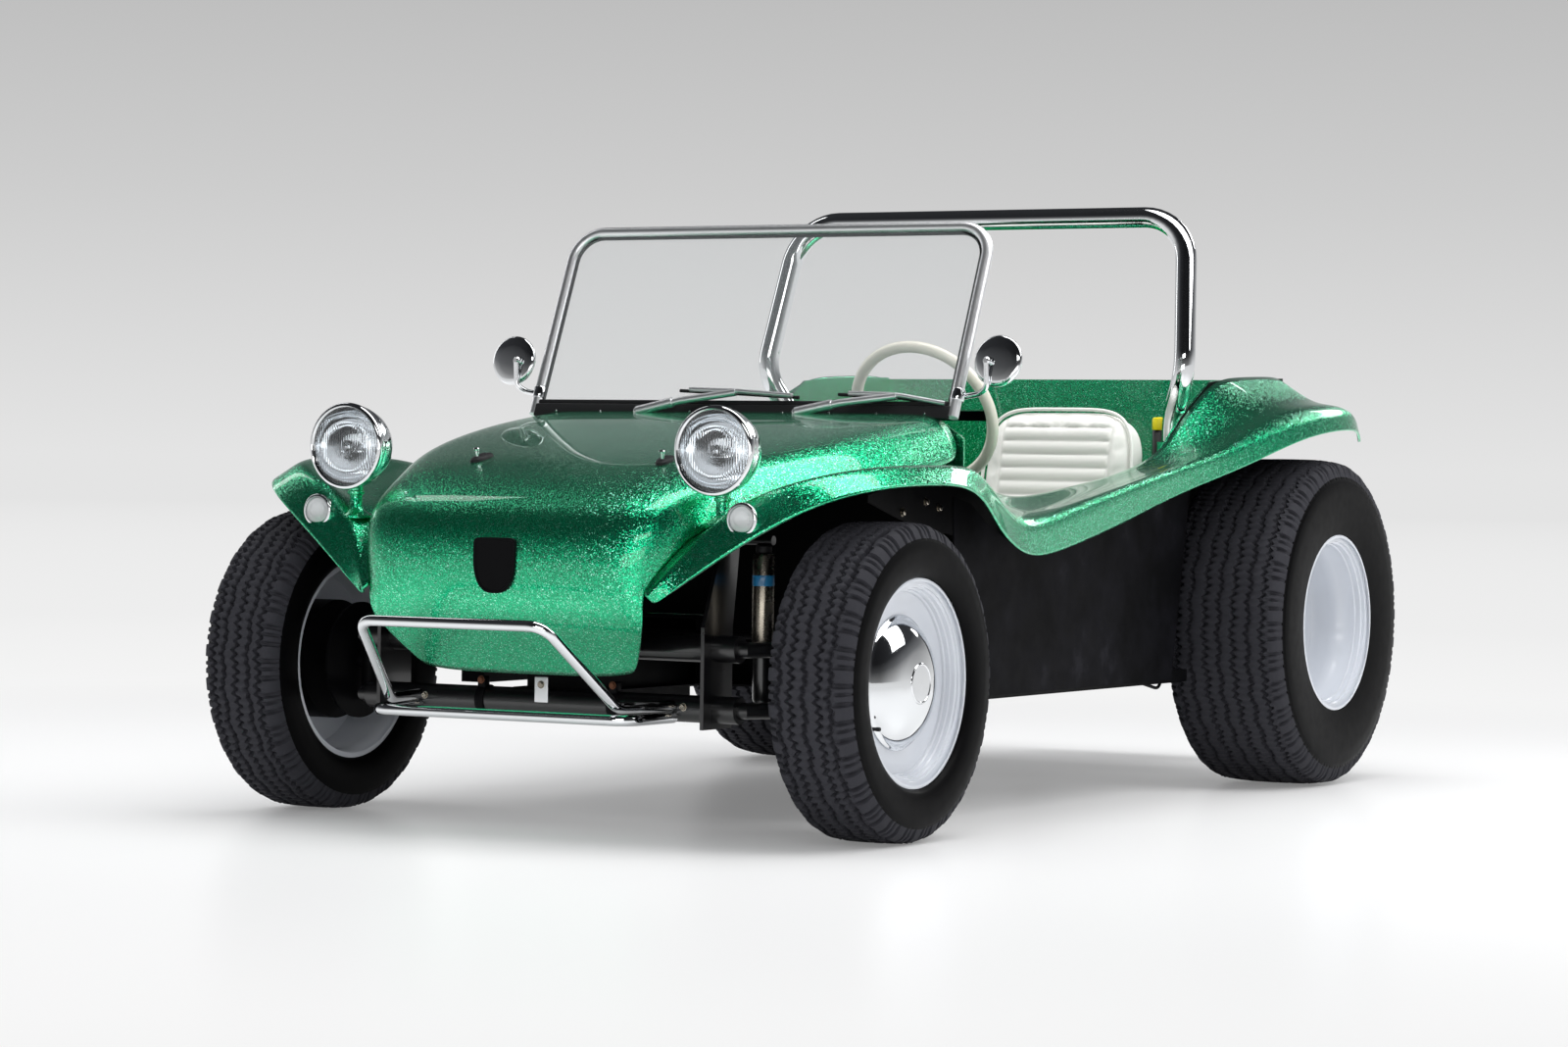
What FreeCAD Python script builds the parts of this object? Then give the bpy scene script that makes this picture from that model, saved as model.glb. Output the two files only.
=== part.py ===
import FreeCAD, Part
import Sketcher
import math
import os

# Dune buggy: fibreglass tub and hood on a shortened floor pan, torsion beam front axle,
# swing axles and an air-cooled flat four behind.
# Millimetres. X points to the vehicle's left, -Y to its front, +Z up. The origin is on the
# ground, in the middle of the overall length and width.

Vector = FreeCAD.Vector
doc = FreeCAD.newDocument("dune_buggy")
sheet = doc.addObject("Spreadsheet::Sheet", "Sizes")

DRIVING_SIZES = [
    # Whole vehicle
    ("wheelbase", 2032), ("front_overhang", 530), ("rear_overhang", 630),
    ("fit_gap", 0.3), ("overrun", 5),
    # Front wheels
    ("front_tyre_radius", 316), ("front_tyre_width", 190), ("front_wheel_x", 672),
    ("front_rim_width", 160), ("front_disc_inset", 52), ("front_cap_radius", 118),
    ("front_cap_height", 52), ("tyre_shoulder", 14),
    # Rear wheels
    ("rear_tyre_radius", 385), ("rear_tyre_width", 296), ("rear_wheel_x", 657),
    ("rear_rim_width", 278), ("rear_disc_inset", 150), ("rear_cap_radius", 60),
    ("rear_cap_height", 36),
    # All rims and drums
    ("flange_radius", 207.5), ("rim_lip", 22), ("rim_wall", 7),
    ("drum_radius", 125), ("drum_width", 62), ("spindle_radius", 17),
    # Body mould
    ("body_half_width", 800), ("body_length", 2664), ("body_height", 970),
    ("nose_overhang", 368), ("skin_wall", 6), ("panel_seam", 1),
    # Floor pan
    ("pan_front_y", 610), ("pan_rear_y", 600), ("pan_thickness", 4),
    ("pan_z", 280), ("pan_neck_half_width", 110),
    ("pan_taper_y", 760), ("tunnel_width", 190), ("tunnel_height", 140), ("tunnel_wall", 4),
    ("rail_height", 26), ("rail_width", 60),
    # Side panels
    ("panel_thickness", 4),
    # Windshield
    ("frame_tube_radius", 11), ("frame_bend", 70), ("frame_inset", 23), ("frame_lean", 175.2),
    ("frame_height", 421.4),
    ("glass_thickness", 6), ("strip_height", 34), ("strip_thickness", 14),
    ("strip_rise", 8.4), ("wiper_length", 400), ("wiper_radius", 5),
    ("mirror_radius", 50), ("mirror_depth", 14), ("mirror_reach", 79),
    ("mirror_back", 35.5), ("mirror_rise", 129.4), ("mirror_arm_radius", 6),
    # Roll hoop
    ("hoop_tube_radius", 25), ("hoop_bend", 125), ("hoop_narrowing", 43),
    ("hoop_lean", 94), ("hoop_height", 369), ("hoop_stub", 60),
    # Lamps
    ("headlamp_radius", 89),
    ("headlamp_depth", 105), ("headlamp_lens_bulge", 12), ("lamp_stalk_radius", 14),
    ("lamp_stalk_length", 50), ("pedestal_radius", 42), ("pedestal_height", 66),
    ("signal_radius", 34), ("signal_depth", 38),
    ("tail_lamp_radius", 42), ("tail_lamp_depth", 34),
    # Bumpers
    ("bumper_tube_radius", 11), ("bumper_bend", 42),
    ("bumper_top_y", 1535), ("bumper_top_x", 215), ("bumper_top_z", 424),
    ("bumper_low_y", 1367), ("bumper_low_x", 303), ("bumper_low_z", 239),
    ("rear_tube_radius", 19), ("rear_bumper_bend", 90), ("rear_bumper_x", 480),
    ("rear_bumper_z", 470), ("rear_horn_x", 230),
    # Front axle
    ("beam_tube_radius", 27), ("beam_y", 1170), ("beam_low_z", 256), ("beam_high_z", 376),
    ("beam_half_length", 440), ("arm_radius", 16), ("tower_x", 385),
    ("tower_thickness", 8), ("tower_depth", 110), ("tower_top_z", 610),
    ("shock_x", 440), ("shock_y", 1085), ("shock_high_z", 590),
    ("shock_radius", 22), ("shock_rod_radius", 8), ("shock_body_length", 150),
    ("kingpin_x", 553), ("knuckle_radius", 19), ("knuckle_height", 170),
    ("steer_arm_y", 895), ("steer_arm_x", 505), ("steer_arm_width", 30),
    ("steer_arm_thickness", 14), ("tie_rod_radius", 9), ("tie_rod_eye_radius", 15),
    ("backing_radius", 122), ("backing_thickness", 5),
    # Steering wheel and column
    ("wheel_ring_radius", 190), ("wheel_rim_radius", 10), ("steer_wheel_offset", 35),
    ("steer_wheel_reach", 280), ("steer_wheel_rise", 17), ("steer_hub_radius", 34),
    ("steer_hub_height", 60), ("column_radius", 20), ("column_length", 330),
    ("spoke_width", 30), ("spoke_thickness", 8),
    # Seats
    ("seat_side_gap", 10), ("seat_tunnel_gap", 40), ("seat_length", 420), ("seat_recline_gap", 150),
    ("seat_base_z", 350), ("seat_cushion_height", 150), ("seat_back_thickness", 110),
    ("seat_back_height", 520), ("seat_foot_overlap", 5),
    # Small controls
    ("lever_radius", 8), ("lever_length", 260), ("knob_radius", 22), ("pedal_width", 60),
    ("pedal_height", 90), ("pedal_thickness", 10), ("pedal_arm_length", 150),
    ("brake_lever_length", 300), ("extinguisher_radius", 18), ("extinguisher_length", 165),
    ("extinguisher_rise", 80),
    # Rear axle and engine
    ("torsion_tube_radius", 50), ("torsion_tube_y", 720), ("torsion_tube_z", 400),
    ("torsion_tube_half_length", 500), ("spring_plate_thickness", 8),
    ("spring_plate_height", 70), ("axle_tube_radius", 32), ("gearbox_radius", 110),
    ("gearbox_length", 360), ("rear_shock_x", 480),
    ("horn_radius", 30), ("engine_y", 1215), ("crankcase_length", 300),
    ("crankcase_width", 240), ("crankcase_height", 260), ("crank_z", 385),
    ("cylinder_length", 200), ("cylinder_radius", 52), ("cylinder_spacing", 125),
    ("head_thickness", 90), ("head_height", 130), ("shroud_width", 560),
    ("shroud_thickness", 120), ("shroud_radius", 180),
    ("generator_radius", 48), ("generator_length", 220), ("pulley_radius", 75),
    ("pulley_thickness", 20), 
    ("muffler_radius", 62), ("muffler_length", 620), ("muffler_z", 320),
    ("tail_pipe_radius", 20), ("tail_pipe_length", 90),
]


class Size:
    """A length of the sheet, or a sum or share of lengths: its value, and the text of its expression."""

    def __init__(self, value, text):
        self.value = value
        self.text = text

    def __add__(self, other):
        return self.joined(other, "+", self.value + number(other))

    def __sub__(self, other):
        return self.joined(other, "-", self.value - number(other))

    def __mul__(self, share):
        return self.joined(share, "*", self.value * number(share))

    def __truediv__(self, share):
        return self.joined(share, "/", self.value / number(share))

    def __neg__(self):
        return Size(-self.value, "(0 - " + self.text + ")")

    def __float__(self):
        return float(self.value)

    __rmul__ = __mul__

    def joined(self, other, sign, value):
        return Size(value, "(" + self.text + " " + sign + " " + wording(other) + ")")


def number(item):
    return item.value if isinstance(item, Size) else item


def wording(item):
    return item.text if isinstance(item, Size) else repr(item)


class Named:
    """Every driving size under its own name."""


size = Named()
for row, (alias, length) in enumerate(DRIVING_SIZES, start=1):
    sheet.set("A%d" % row, alias.replace("_", " "))
    sheet.set("B%d" % row, str(length))
    sheet.setAlias("B%d" % row, alias)
    setattr(size, alias, Size(float(length), "Sizes." + alias))
doc.recompute()

ZERO = size.overrun * 0
BEND_CHORD = math.radians(18)
WIDE_CHORD = math.radians(22.5)
X_AXIS, Y_AXIS, Z_AXIS = Vector(1, 0, 0), Vector(0, 1, 0), Vector(0, 0, 1)

mid_y = (size.front_overhang - size.rear_overhang) / 2
front_axle_y = mid_y - size.wheelbase / 2
rear_axle_y = mid_y + size.wheelbase / 2
nose_y = front_axle_y - size.nose_overhang


# Places of what stands on the body: shares of its half width, its length from the nose and its height
BODY_PLACE_SHARES = {
    "headlamp": (0.545, 0.0398, 0.7887), "signal": (0.6288, 0.039, 0.6526),
    "tail_lamp": (0.55, 0.988, 0.9124), "windshield_foot": (0.68125, 0.3528, 0.8687),
    "hoop_foot": (0.64, 0.7763, 0.8247), "hoop_knee": (0.7, 0.7601, 0.9918),
    "wiper_pivot": (0.2775, 0.3528, 0.8687),
    "firewall": (0.68125, 0.2793, 0.7608), "dash": (0.68125, 0.35811, 0.86392),
    "dash_bottom": (0.68125, 0.3581, 0.6598), "bulkhead_foot": (0.68125, 0.741, 0.29),
    "bulkhead_top": (0.68125, 0.7673, 0.6392), "rear_wall": (0.75, 0.988, 0.99),
    "wheelhouse": (0.6125, 0.7673, 0.8247), "rail": (0.745, 0.3, 0.29)}


def on_body(name):
    """Across, along and up: a place on the body that moves with it."""
    across, back, up = BODY_PLACE_SHARES[name]
    return (size.body_half_width * across, nose_y + size.body_length * back, size.body_height * up)


headlamp_x, headlamp_y, headlamp_z = on_body("headlamp")
signal_x, signal_y, signal_z = on_body("signal")
tail_lamp_x, wall_rear_y, tail_lamp_z = on_body("tail_lamp")
frame_side_x, frame_foot_y, frame_foot_z = on_body("windshield_foot")
hoop_foot_x, hoop_foot_y, ledge_z = on_body("hoop_foot")
hoop_knee_x, hoop_knee_y, hoop_knee_z = on_body("hoop_knee")
wiper_pivot_x = on_body("wiper_pivot")[0]
tub_wall_x, firewall_y, firewall_top_z = on_body("firewall")
dash_y, cowl_z = on_body("dash")[1:]
dash_bottom_z = on_body("dash_bottom")[2]
bulkhead_foot_y = on_body("bulkhead_foot")[1]
bulkhead_top_y, shelf_z = on_body("bulkhead_top")[1:]
wheelhouse_x, wheelhouse_z = on_body("wheelhouse")[0], on_body("wheelhouse")[2]
pan_half_width = on_body("rail")[0]


def bind(item, path, length):
    """Set one property of an object to a size of the sheet."""
    item.setExpression(path, length.text)


def place(item, x, y, z, turn=None):
    """Put an object at three sizes, turned as given."""
    item.Placement = FreeCAD.Placement(Vector(float(x), float(y), float(z)), turn or FreeCAD.Rotation())
    for axis, length in (("x", x), ("y", y), ("z", z)):
        bind(item, "Placement.Base." + axis, length)


def toward(direction):
    """The turn that lays the Z axis along a direction."""
    return FreeCAD.Rotation(Z_AXIS, direction)


def cylinder(name, radius, length, x, y, z, direction=Z_AXIS):
    item = doc.addObject("Part::Cylinder", name)
    bind(item, "Radius", radius)
    bind(item, "Height", length)
    place(item, x, y, z, toward(direction))
    return item


def cone(name, radius, end_radius, length, x, y, z, direction=Z_AXIS):
    item = doc.addObject("Part::Cone", name)
    bind(item, "Radius1", radius)
    bind(item, "Radius2", end_radius)
    bind(item, "Height", length)
    place(item, x, y, z, toward(direction))
    return item


def box(name, length, width, height, x, y, z, turn=None):
    """A box whose lowest corner is at x, y, z."""
    item = doc.addObject("Part::Box", name)
    bind(item, "Length", length)
    bind(item, "Width", width)
    bind(item, "Height", height)
    place(item, x, y, z, turn)
    return item


def outline_sketch(body, name, plane, corners):
    """A closed outline of straight edges whose corners are bound to the sheet."""
    sketch = body.newObject("Sketcher::SketchObject", name)
    origin = [item for item in body.Origin.OriginFeatures if item.Role == plane][0]
    sketch.AttachmentSupport = [(origin, "")]
    sketch.MapMode = "FlatFace"
    count = len(corners)
    for index in range(count):
        start, end = corners[index], corners[(index + 1) % count]
        sketch.addGeometry(Part.LineSegment(Vector(float(start[0]), float(start[1]), 0),
                                            Vector(float(end[0]), float(end[1]), 0)), False)
    for index in range(count):
        sketch.addConstraint(Sketcher.Constraint("Coincident", index, 2, (index + 1) % count, 1))
    for index, (across, up) in enumerate(corners):
        for kind, length in (("DistanceX", across), ("DistanceY", up)):
            place_number = sketch.addConstraint(Sketcher.Constraint(kind, index, 1, float(length)))
            sketch.setExpression("Constraints[%d]" % place_number, length.text)
    return sketch


def revolved(name, corners, x, y, z, turn=None):
    """A solid turned about its own X axis from corners given as (along, radius)."""
    body = doc.addObject("PartDesign::Body", name)
    sketch = outline_sketch(body, name + "_profile", "XZ_Plane", corners)
    feature = body.newObject("PartDesign::Revolution", name + "_turned")
    feature.Profile = sketch
    feature.ReferenceAxis = (sketch, ["H_Axis"])
    feature.Angle = 360
    place(body, x, y, z, turn)
    return body


def padded(name, plane, corners, depth, x, y, z, turn=None):
    """A plate of one thickness from an outline, raised to both sides of its plane."""
    body = doc.addObject("PartDesign::Body", name)
    sketch = outline_sketch(body, name + "_outline", plane, corners)
    feature = body.newObject("PartDesign::Pad", name + "_raised")
    feature.Profile = sketch
    feature.Midplane = True
    bind(feature, "Length", depth)
    place(body, x, y, z, turn)
    return body


def fused(name, items):
    """Several features as one solid."""
    item = doc.addObject("Part::MultiFuse", name)
    item.Shapes = items
    return item


def without(name, base, tool):
    item = doc.addObject("Part::Cut", name)
    item.Base = base
    item.Tool = tool
    return item


def together(name, items):
    """Several solids of one sub-part that don't touch."""
    item = doc.addObject("Part::Compound", name)
    item.Links = items
    return item


def formed(name, shape):
    """A sub-part whose shape is worked out from the sheet by Part's own functions."""
    item = doc.addObject("Part::Feature", name)
    item.Shape = shape
    return item


SUB_PARTS = []


def sub_part(label, item):
    """Name a finished piece as one of the vehicle's sub-parts."""
    item.Label = label
    SUB_PARTS.append(item)
    return item


def mirrored_x(shape):
    return shape.mirror(Vector(0, 0, 0), X_AXIS)


def bent_tube(points, radius, bend=None, chord=BEND_CHORD):
    """A round tube along straight runs; a bend is turned in short mitred chords, or is one mitre."""
    corners = [Vector(float(x), float(y), float(z)) for x, y, z in points]
    line = [corners[0]]
    for before, corner, after in zip(corners, corners[1:], corners[2:]):
        if bend is None:
            line.append(corner)
            continue
        back = (before - corner).normalize()
        ahead = (after - corner).normalize()
        half = back.getAngle(ahead) / 2
        reach = float(bend) / math.tan(half)
        first, last = corner + back * reach, corner + ahead * reach
        top = corner + (back + ahead).normalize() * (float(bend) / math.sin(half) - float(bend))
        turn = math.pi - half * 2
        line += Part.Arc(first, top, last).toShape().discretize(2 + int(turn / chord))
    line.append(corners[-1])
    ring = Part.Wire([Part.Circle(corners[0], corners[1] - corners[0], float(radius)).toShape()])
    return Part.makePolygon(line).makePipeShell([ring], True, False, 1)


def standing(shape, base, way):
    """What is left of a piece outside the moulding it stands on, farthest along a direction."""
    return max(shape.cut(base).Solids, key=lambda piece: piece.CenterOfMass.dot(way))


def net_surface(net):
    """A smooth cubic surface drawn towards a net of control points, fixed at its edges."""
    def spread(count):
        degree = min(3, count - 1)
        inner = count - degree - 1
        knots = [step / (inner + 1) for step in range(inner + 2)]
        return degree, knots, [degree + 1] + [1] * inner + [degree + 1]
    rows, columns = len(net), len(net[0])
    row_degree, row_knots, row_weights = spread(rows)
    column_degree, column_knots, column_weights = spread(columns)
    surface = Part.BSplineSurface()
    surface.buildFromPolesMultsKnots(net, row_weights, column_weights, row_knots, column_knots,
                                     False, False, row_degree, column_degree)
    return surface


def net_normals(net):
    """The outward direction at every control point, from its neighbours."""
    rows, columns = len(net), len(net[0])
    normals = []
    for row in range(rows):
        line = []
        for column in range(columns):
            along = net[min(row + 1, rows - 1)][column] - net[max(row - 1, 0)][column]
            across = net[row][min(column + 1, columns - 1)] - net[row][max(column - 1, 0)]
            line.append(along.cross(across).normalize())
        normals.append(line)
    return normals


def spread_points(net, rows, across):
    """A grid of points on a net's smooth surface: even along it, at given shares across it."""
    surface = net_surface(net)
    return [[surface.value(row / (rows - 1), share) for share in across] for row in range(rows)]


def moulded(net, wall, rows, across):
    """A thin moulding in flat facets that follow a net's smooth surface, a wall's thickness deep."""
    outer = spread_points(net, rows, across)
    inner = spread_points([[point - normal * float(wall) for point, normal in zip(line, normals)]
                           for line, normals in zip(net, net_normals(net))], rows, across)
    faces = []

    def patch(one, two, three, four):
        for corners in ((one, two, three), (one, three, four)):
            faces.append(Part.Face(Part.makePolygon(corners + corners[:1])))

    last, end = rows - 1, len(across) - 1
    for side in (outer, inner):
        for row in range(last):
            for column in range(end):
                patch(side[row][column], side[row + 1][column],
                      side[row + 1][column + 1], side[row][column + 1])
    for column in (0, end):
        for row in range(last):
            patch(outer[row][column], outer[row + 1][column], inner[row + 1][column], inner[row][column])
    for row in (0, last):
        for column in range(end):
            patch(outer[row][column], outer[row][column + 1], inner[row][column + 1], inner[row][column])
    skin = Part.makeShell(faces)
    skin.sewShape()
    solid = Part.makeSolid(skin)
    if solid.Volume < 0:
        solid.reverse()
    return solid


# Body stations, as shares of the body's half width, length from the nose, and height:
# the inner edge (valley or cockpit rim), the crown, and the lower edge of the lip.
SKIN_STATION_SHARES = [
    ((0.403, 0.013, 0.505), (0.422, 0.01, 0.494), (0.432, 0.016, 0.479)),
    ((0.44, 0.025, 0.557), (0.458, 0.021, 0.544), (0.484, 0.019, 0.513)),
    ((0.472, 0.041, 0.608), (0.504, 0.033, 0.604), (0.541, 0.024, 0.548)),
    ((0.502, 0.063, 0.641), (0.56, 0.043, 0.665), (0.631, 0.032, 0.6)),
    ((0.537, 0.088, 0.66), (0.625, 0.052, 0.705), (0.729, 0.043, 0.651)),
    ((0.581, 0.114, 0.675), (0.738, 0.065, 0.744), (0.84, 0.061, 0.7)),
    ((0.625, 0.144, 0.693), (0.845, 0.107, 0.77), (0.927, 0.103, 0.726)),
    ((0.662, 0.182, 0.713), (0.894, 0.163, 0.775), (0.948, 0.159, 0.73)),
    ((0.685, 0.227, 0.738), (0.902, 0.219, 0.774), (0.946, 0.215, 0.726)),
    ((0.695, 0.272, 0.761), (0.895, 0.257, 0.769), (0.927, 0.257, 0.689)),
    ((0.695, 0.309, 0.768), (0.881, 0.298, 0.722), (0.897, 0.298, 0.625)),
    ((0.694, 0.351, 0.758), (0.875, 0.34, 0.644), (0.875, 0.354, 0.571)),
    ((0.691, 0.396, 0.711), (0.871, 0.384, 0.649), (0.871, 0.399, 0.577)),
    ((0.69, 0.444, 0.693), (0.869, 0.444, 0.681), (0.869, 0.448, 0.598)),
    ((0.69, 0.535, 0.72), (0.869, 0.535, 0.728), (0.869, 0.538, 0.645)),
    ((0.689, 0.632, 0.749), (0.875, 0.63, 0.771), (0.875, 0.632, 0.706)),
    ((0.692, 0.715, 0.796), (0.894, 0.707, 0.809), (0.902, 0.711, 0.751)),
    ((0.695, 0.764, 0.893), (0.931, 0.76, 0.851), (0.946, 0.764, 0.794)),
    ((0.693, 0.824, 0.981), (0.965, 0.82, 0.892), (0.984, 0.82, 0.84)),
    ((0.689, 0.876, 0.992), (0.981, 0.876, 0.913), (1, 0.876, 0.862)),
    ((0.688, 0.932, 0.997), (0.981, 0.929, 0.921), (1, 0.929, 0.869)),
    ((0.686, 0.988, 1), (0.956, 0.962, 0.912), (0.975, 0.961, 0.861)),
    ((0.686, 1, 0.959), (0.935, 0.984, 0.881), (0.95, 0.982, 0.83)),
]

# Hood stations, in the same shares: its middle line and its side edge, then how far out and
# how high the points between them lie.
HOOD_STATION_SHARES = [
    ((0, 0.05, 0.325), (0.32, 0.047, 0.34)),
    ((0, 0.028, 0.397), (0.375, 0.025, 0.407)),
    ((0, 0.008, 0.454), (0.407, 0.012, 0.454)),
    ((0, 0.001, 0.515), (0.4, 0.013, 0.505)),
    ((0, 0, 0.598), (0.44, 0.025, 0.557)),
    ((0, 0.011, 0.67), (0.472, 0.041, 0.608)),
    ((0, 0.043, 0.716), (0.502, 0.063, 0.641)),
    ((0, 0.088, 0.758), (0.537, 0.088, 0.66)),
    ((0, 0.144, 0.792), (0.625, 0.144, 0.693)),
    ((0, 0.2, 0.822), (0.675, 0.2, 0.725)),
    ((0, 0.276, 0.856), (0.695, 0.272, 0.761)),
    ((0, 0.349, 0.878), (0.694, 0.351, 0.768)),
]
HOOD_ACROSS_SHARES = [0.3, 0.6, 0.8, 0.93]
HOOD_NOSE_RISE_SHARES = [0.99, 0.93, 0.75, 0.4]
HOOD_COWL_RISE_SHARES = [1, 0.99, 0.97, 0.86]
SLOPE_SHARE = 0.5
SLOPE_SAG_SHARE = 0.1
EDGE_SHARE = 0.14
SKIN_ROWS = 30
SKIN_ACROSS_SHARES = [0, 0.2, 0.34, 0.44, 0.54, 0.66, 0.82, 1]
HOOD_ROWS = 16
HOOD_CUT_SHARES = [0, 0.06, 0.14, 0.24, 0.37, 0.5, 0.63, 0.76, 0.86, 0.94, 1]


def body_point(shares, inset=0.0):
    """A point of the body from its shares, moved inwards by a small seam."""
    across, back, up = shares
    return Vector(float(size.body_half_width) * across - inset,
                  float(nose_y) + float(size.body_length) * back,
                  float(size.body_height) * up)


def blend(start, end, share):
    return start + (end - start) * share


def skin_net():
    """Control points of one side's skin, from the inner edge over the crown to the lip."""
    net = []
    for inner, crown, lip in SKIN_STATION_SHARES:
        rim, top, foot = body_point(inner), body_point(crown), body_point(lip)
        fall = (rim - top).Length * SLOPE_SAG_SHARE
        net.append([rim, blend(rim, top, SLOPE_SHARE) - Z_AXIS * fall,
                    blend(top, rim, EDGE_SHARE), blend(top, foot, EDGE_SHARE),
                    blend(top, foot, SLOPE_SHARE), foot])
    return net


def hood_net():
    """Control points of the hood, right edge to left edge, from the chin to the cowl."""
    last = len(HOOD_STATION_SHARES) - 1
    net = []
    for step, (middle, side) in enumerate(HOOD_STATION_SHARES):
        centre = body_point(middle)
        edge = body_point(side, float(size.panel_seam))
        share = step / last
        half = [centre]
        for across, nose_rise, cowl_rise in zip(HOOD_ACROSS_SHARES, HOOD_NOSE_RISE_SHARES,
                                                HOOD_COWL_RISE_SHARES):
            rise = nose_rise + (cowl_rise - nose_rise) * share
            half.append(Vector(edge.x * across,
                               centre.y + (edge.y - centre.y) * (1 - rise),
                               edge.z + (centre.z - edge.z) * rise))
        half.append(edge)
        mirror = [Vector(-point.x, point.y, point.z) for point in half[:0:-1]]
        net.append(mirror + half)
    return net


skin = [list(reversed(line)) for line in skin_net()]
skin_left = moulded(skin, size.skin_wall, SKIN_ROWS, SKIN_ACROSS_SHARES)

# Tub walls: flat mouldings whose top follows the cockpit rim
rim_line = [line[-1] for line in spread_points(skin, SKIN_ROWS, SKIN_ACROSS_SHARES)]
tub_floor_z = size.pan_z + size.pan_thickness / 2 + size.fit_gap
WALL_LAP_SHARE = 0.7


def rim_at(y):
    """The place of the wall's inner face under the cockpit rim, at a distance along the body."""
    y = float(y)
    for start, end in zip(rim_line, rim_line[1:]):
        low, high = sorted((start, end), key=lambda point: point.y)
        if low.y <= y <= high.y:
            spot = blend(low, high, (y - low.y) / (high.y - low.y))
            return Vector(spot.x - float(size.skin_wall) * WALL_LAP_SHARE, y,
                          spot.z - float(size.skin_wall) / 2)
    raise ValueError("no rim at %s" % y)


def tub_wall():
    """The left inner wall of the tub: upright strips under the rim, stepped over the rear wheel."""
    foot, top = float(bulkhead_foot_y), float(bulkhead_top_y)
    front, rear = float(firewall_y), float(wall_rear_y)
    marks = sorted({front, foot, top, rear} | {point.y for point in rim_line if front < point.y < rear})

    def low(y, before):
        if y <= foot:
            return float(tub_floor_z)
        if y > top or (y == top and not before):
            return float(wheelhouse_z)
        return blend(float(tub_floor_z), float(shelf_z), (y - foot) / (top - foot))

    strips = []
    for start, end in zip(marks, marks[1:]):
        one, two = rim_at(start), rim_at(end)
        corners = [one, two, Vector(two.x, end, low(end, True)), Vector(one.x, start, low(start, False))]
        strips.append(Part.Face(Part.makePolygon(corners + corners[:1])).extrude(
            X_AXIS * float(size.skin_wall)))
    return strips[0].multiFuse(strips[1:])


def tub_plate(points, half):
    """A moulded cross wall of the tub: a thin strip in side view, as wide as given to both sides."""
    wall = float(size.skin_wall)
    half = float(half) + wall / 2
    line = [Vector(-half, float(y), float(z)) for y, z in points]
    solids = []
    for start, end in zip(line, line[1:]):
        run = (end - start).normalize()
        side = X_AXIS.cross(run) * wall
        strip = Part.makePolygon([start, end, end + side, start + side, start])
        solids.append(Part.Face(strip).extrude(X_AXIS * (half * 2)))
    whole = solids[0]
    for solid in solids[1:]:
        whole = whole.fuse(solid)
    return whole


def wheelhouse():
    """The step of the left wall over the rear wheel: an inner wall, a ledge and a front closure."""
    wall = float(size.skin_wall)
    x, top, low = float(wheelhouse_x), float(wheelhouse_z), float(shelf_z)
    front, rear = float(bulkhead_top_y), float(wall_rear_y)
    ledge_end = max(rim_at(front).x, rim_at(rear).x) + wall
    return [Part.makeBox(wall, rear - front + wall, top - low + wall, Vector(x - wall, front - wall, low)),
            Part.makeBox(ledge_end - x + wall, rear - front + wall, wall, Vector(x - wall, front - wall, top)),
            Part.makeBox(rim_at(front).x + wall - x + wall, wall, top - low + wall,
                         Vector(x - wall, front - wall, low))]


wall_left = tub_wall().multiFuse(wheelhouse())
bulkhead = tub_plate([(bulkhead_foot_y, tub_floor_z), (bulkhead_top_y, shelf_z + size.skin_wall)],
                     rim_at(bulkhead_foot_y).x)
shelf = tub_plate([(bulkhead_top_y - size.skin_wall, shelf_z), (wall_rear_y, shelf_z),
                   (wall_rear_y, wheelhouse_z + size.skin_wall)], wheelhouse_x - size.skin_wall)
rear_wall = tub_plate([(wall_rear_y, wheelhouse_z), (wall_rear_y, size.body_height - size.skin_wall)],
                      rim_at(wall_rear_y).x)
dash = tub_plate([(dash_y, dash_bottom_z), (dash_y, cowl_z)], rim_at(dash_y).x)
firewall = tub_plate([(firewall_y, tub_floor_z), (firewall_y, firewall_top_z)], rim_at(firewall_y).x)
tunnel_notch = Part.makeBox(float(size.tunnel_width + size.fit_gap * 2), float(size.body_length),
                            float(size.tunnel_height + size.fit_gap),
                            Vector(float(-size.tunnel_width / 2 - size.fit_gap), float(nose_y),
                                   float(size.pan_z)))
walls = wall_left
for wall in (mirrored_x(wall_left), bulkhead, shelf, rear_wall, dash, firewall):
    walls = walls.fuse(wall)
walls = walls.cut(tunnel_notch)
tub_shape = walls.multiFuse([skin_left, mirrored_x(skin_left)])
sub_part("tub", formed("tub", tub_shape))
hood_shape = standing(moulded([list(reversed(line)) for line in hood_net()], size.skin_wall,
                               HOOD_ROWS, HOOD_CUT_SHARES), tub_shape, Z_AXIS)
sub_part("hood", formed("hood", hood_shape))

# Floor pan: plate with a central tunnel and side rails
pan_neck_y = size.beam_y - size.beam_tube_radius - size.fit_gap
pan = padded("pan_plate", "XY_Plane",
             [(-pan_half_width, mid_y + size.pan_rear_y),
              (-pan_half_width, mid_y - size.pan_front_y),
              (-size.pan_neck_half_width, mid_y - size.pan_taper_y),
              (-size.pan_neck_half_width, mid_y - pan_neck_y),
              (size.pan_neck_half_width, mid_y - pan_neck_y),
              (size.pan_neck_half_width, mid_y - size.pan_taper_y),
              (pan_half_width, mid_y - size.pan_front_y),
              (pan_half_width, mid_y + size.pan_rear_y)],
             size.pan_thickness, ZERO, ZERO, size.pan_z)
tunnel_rear_y = size.torsion_tube_y - size.torsion_tube_radius - size.fit_gap
tunnel_outer = box("tunnel_outer", size.tunnel_width, size.pan_taper_y + tunnel_rear_y,
                   size.tunnel_height, -size.tunnel_width / 2, mid_y - size.pan_taper_y, size.pan_z)
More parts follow.
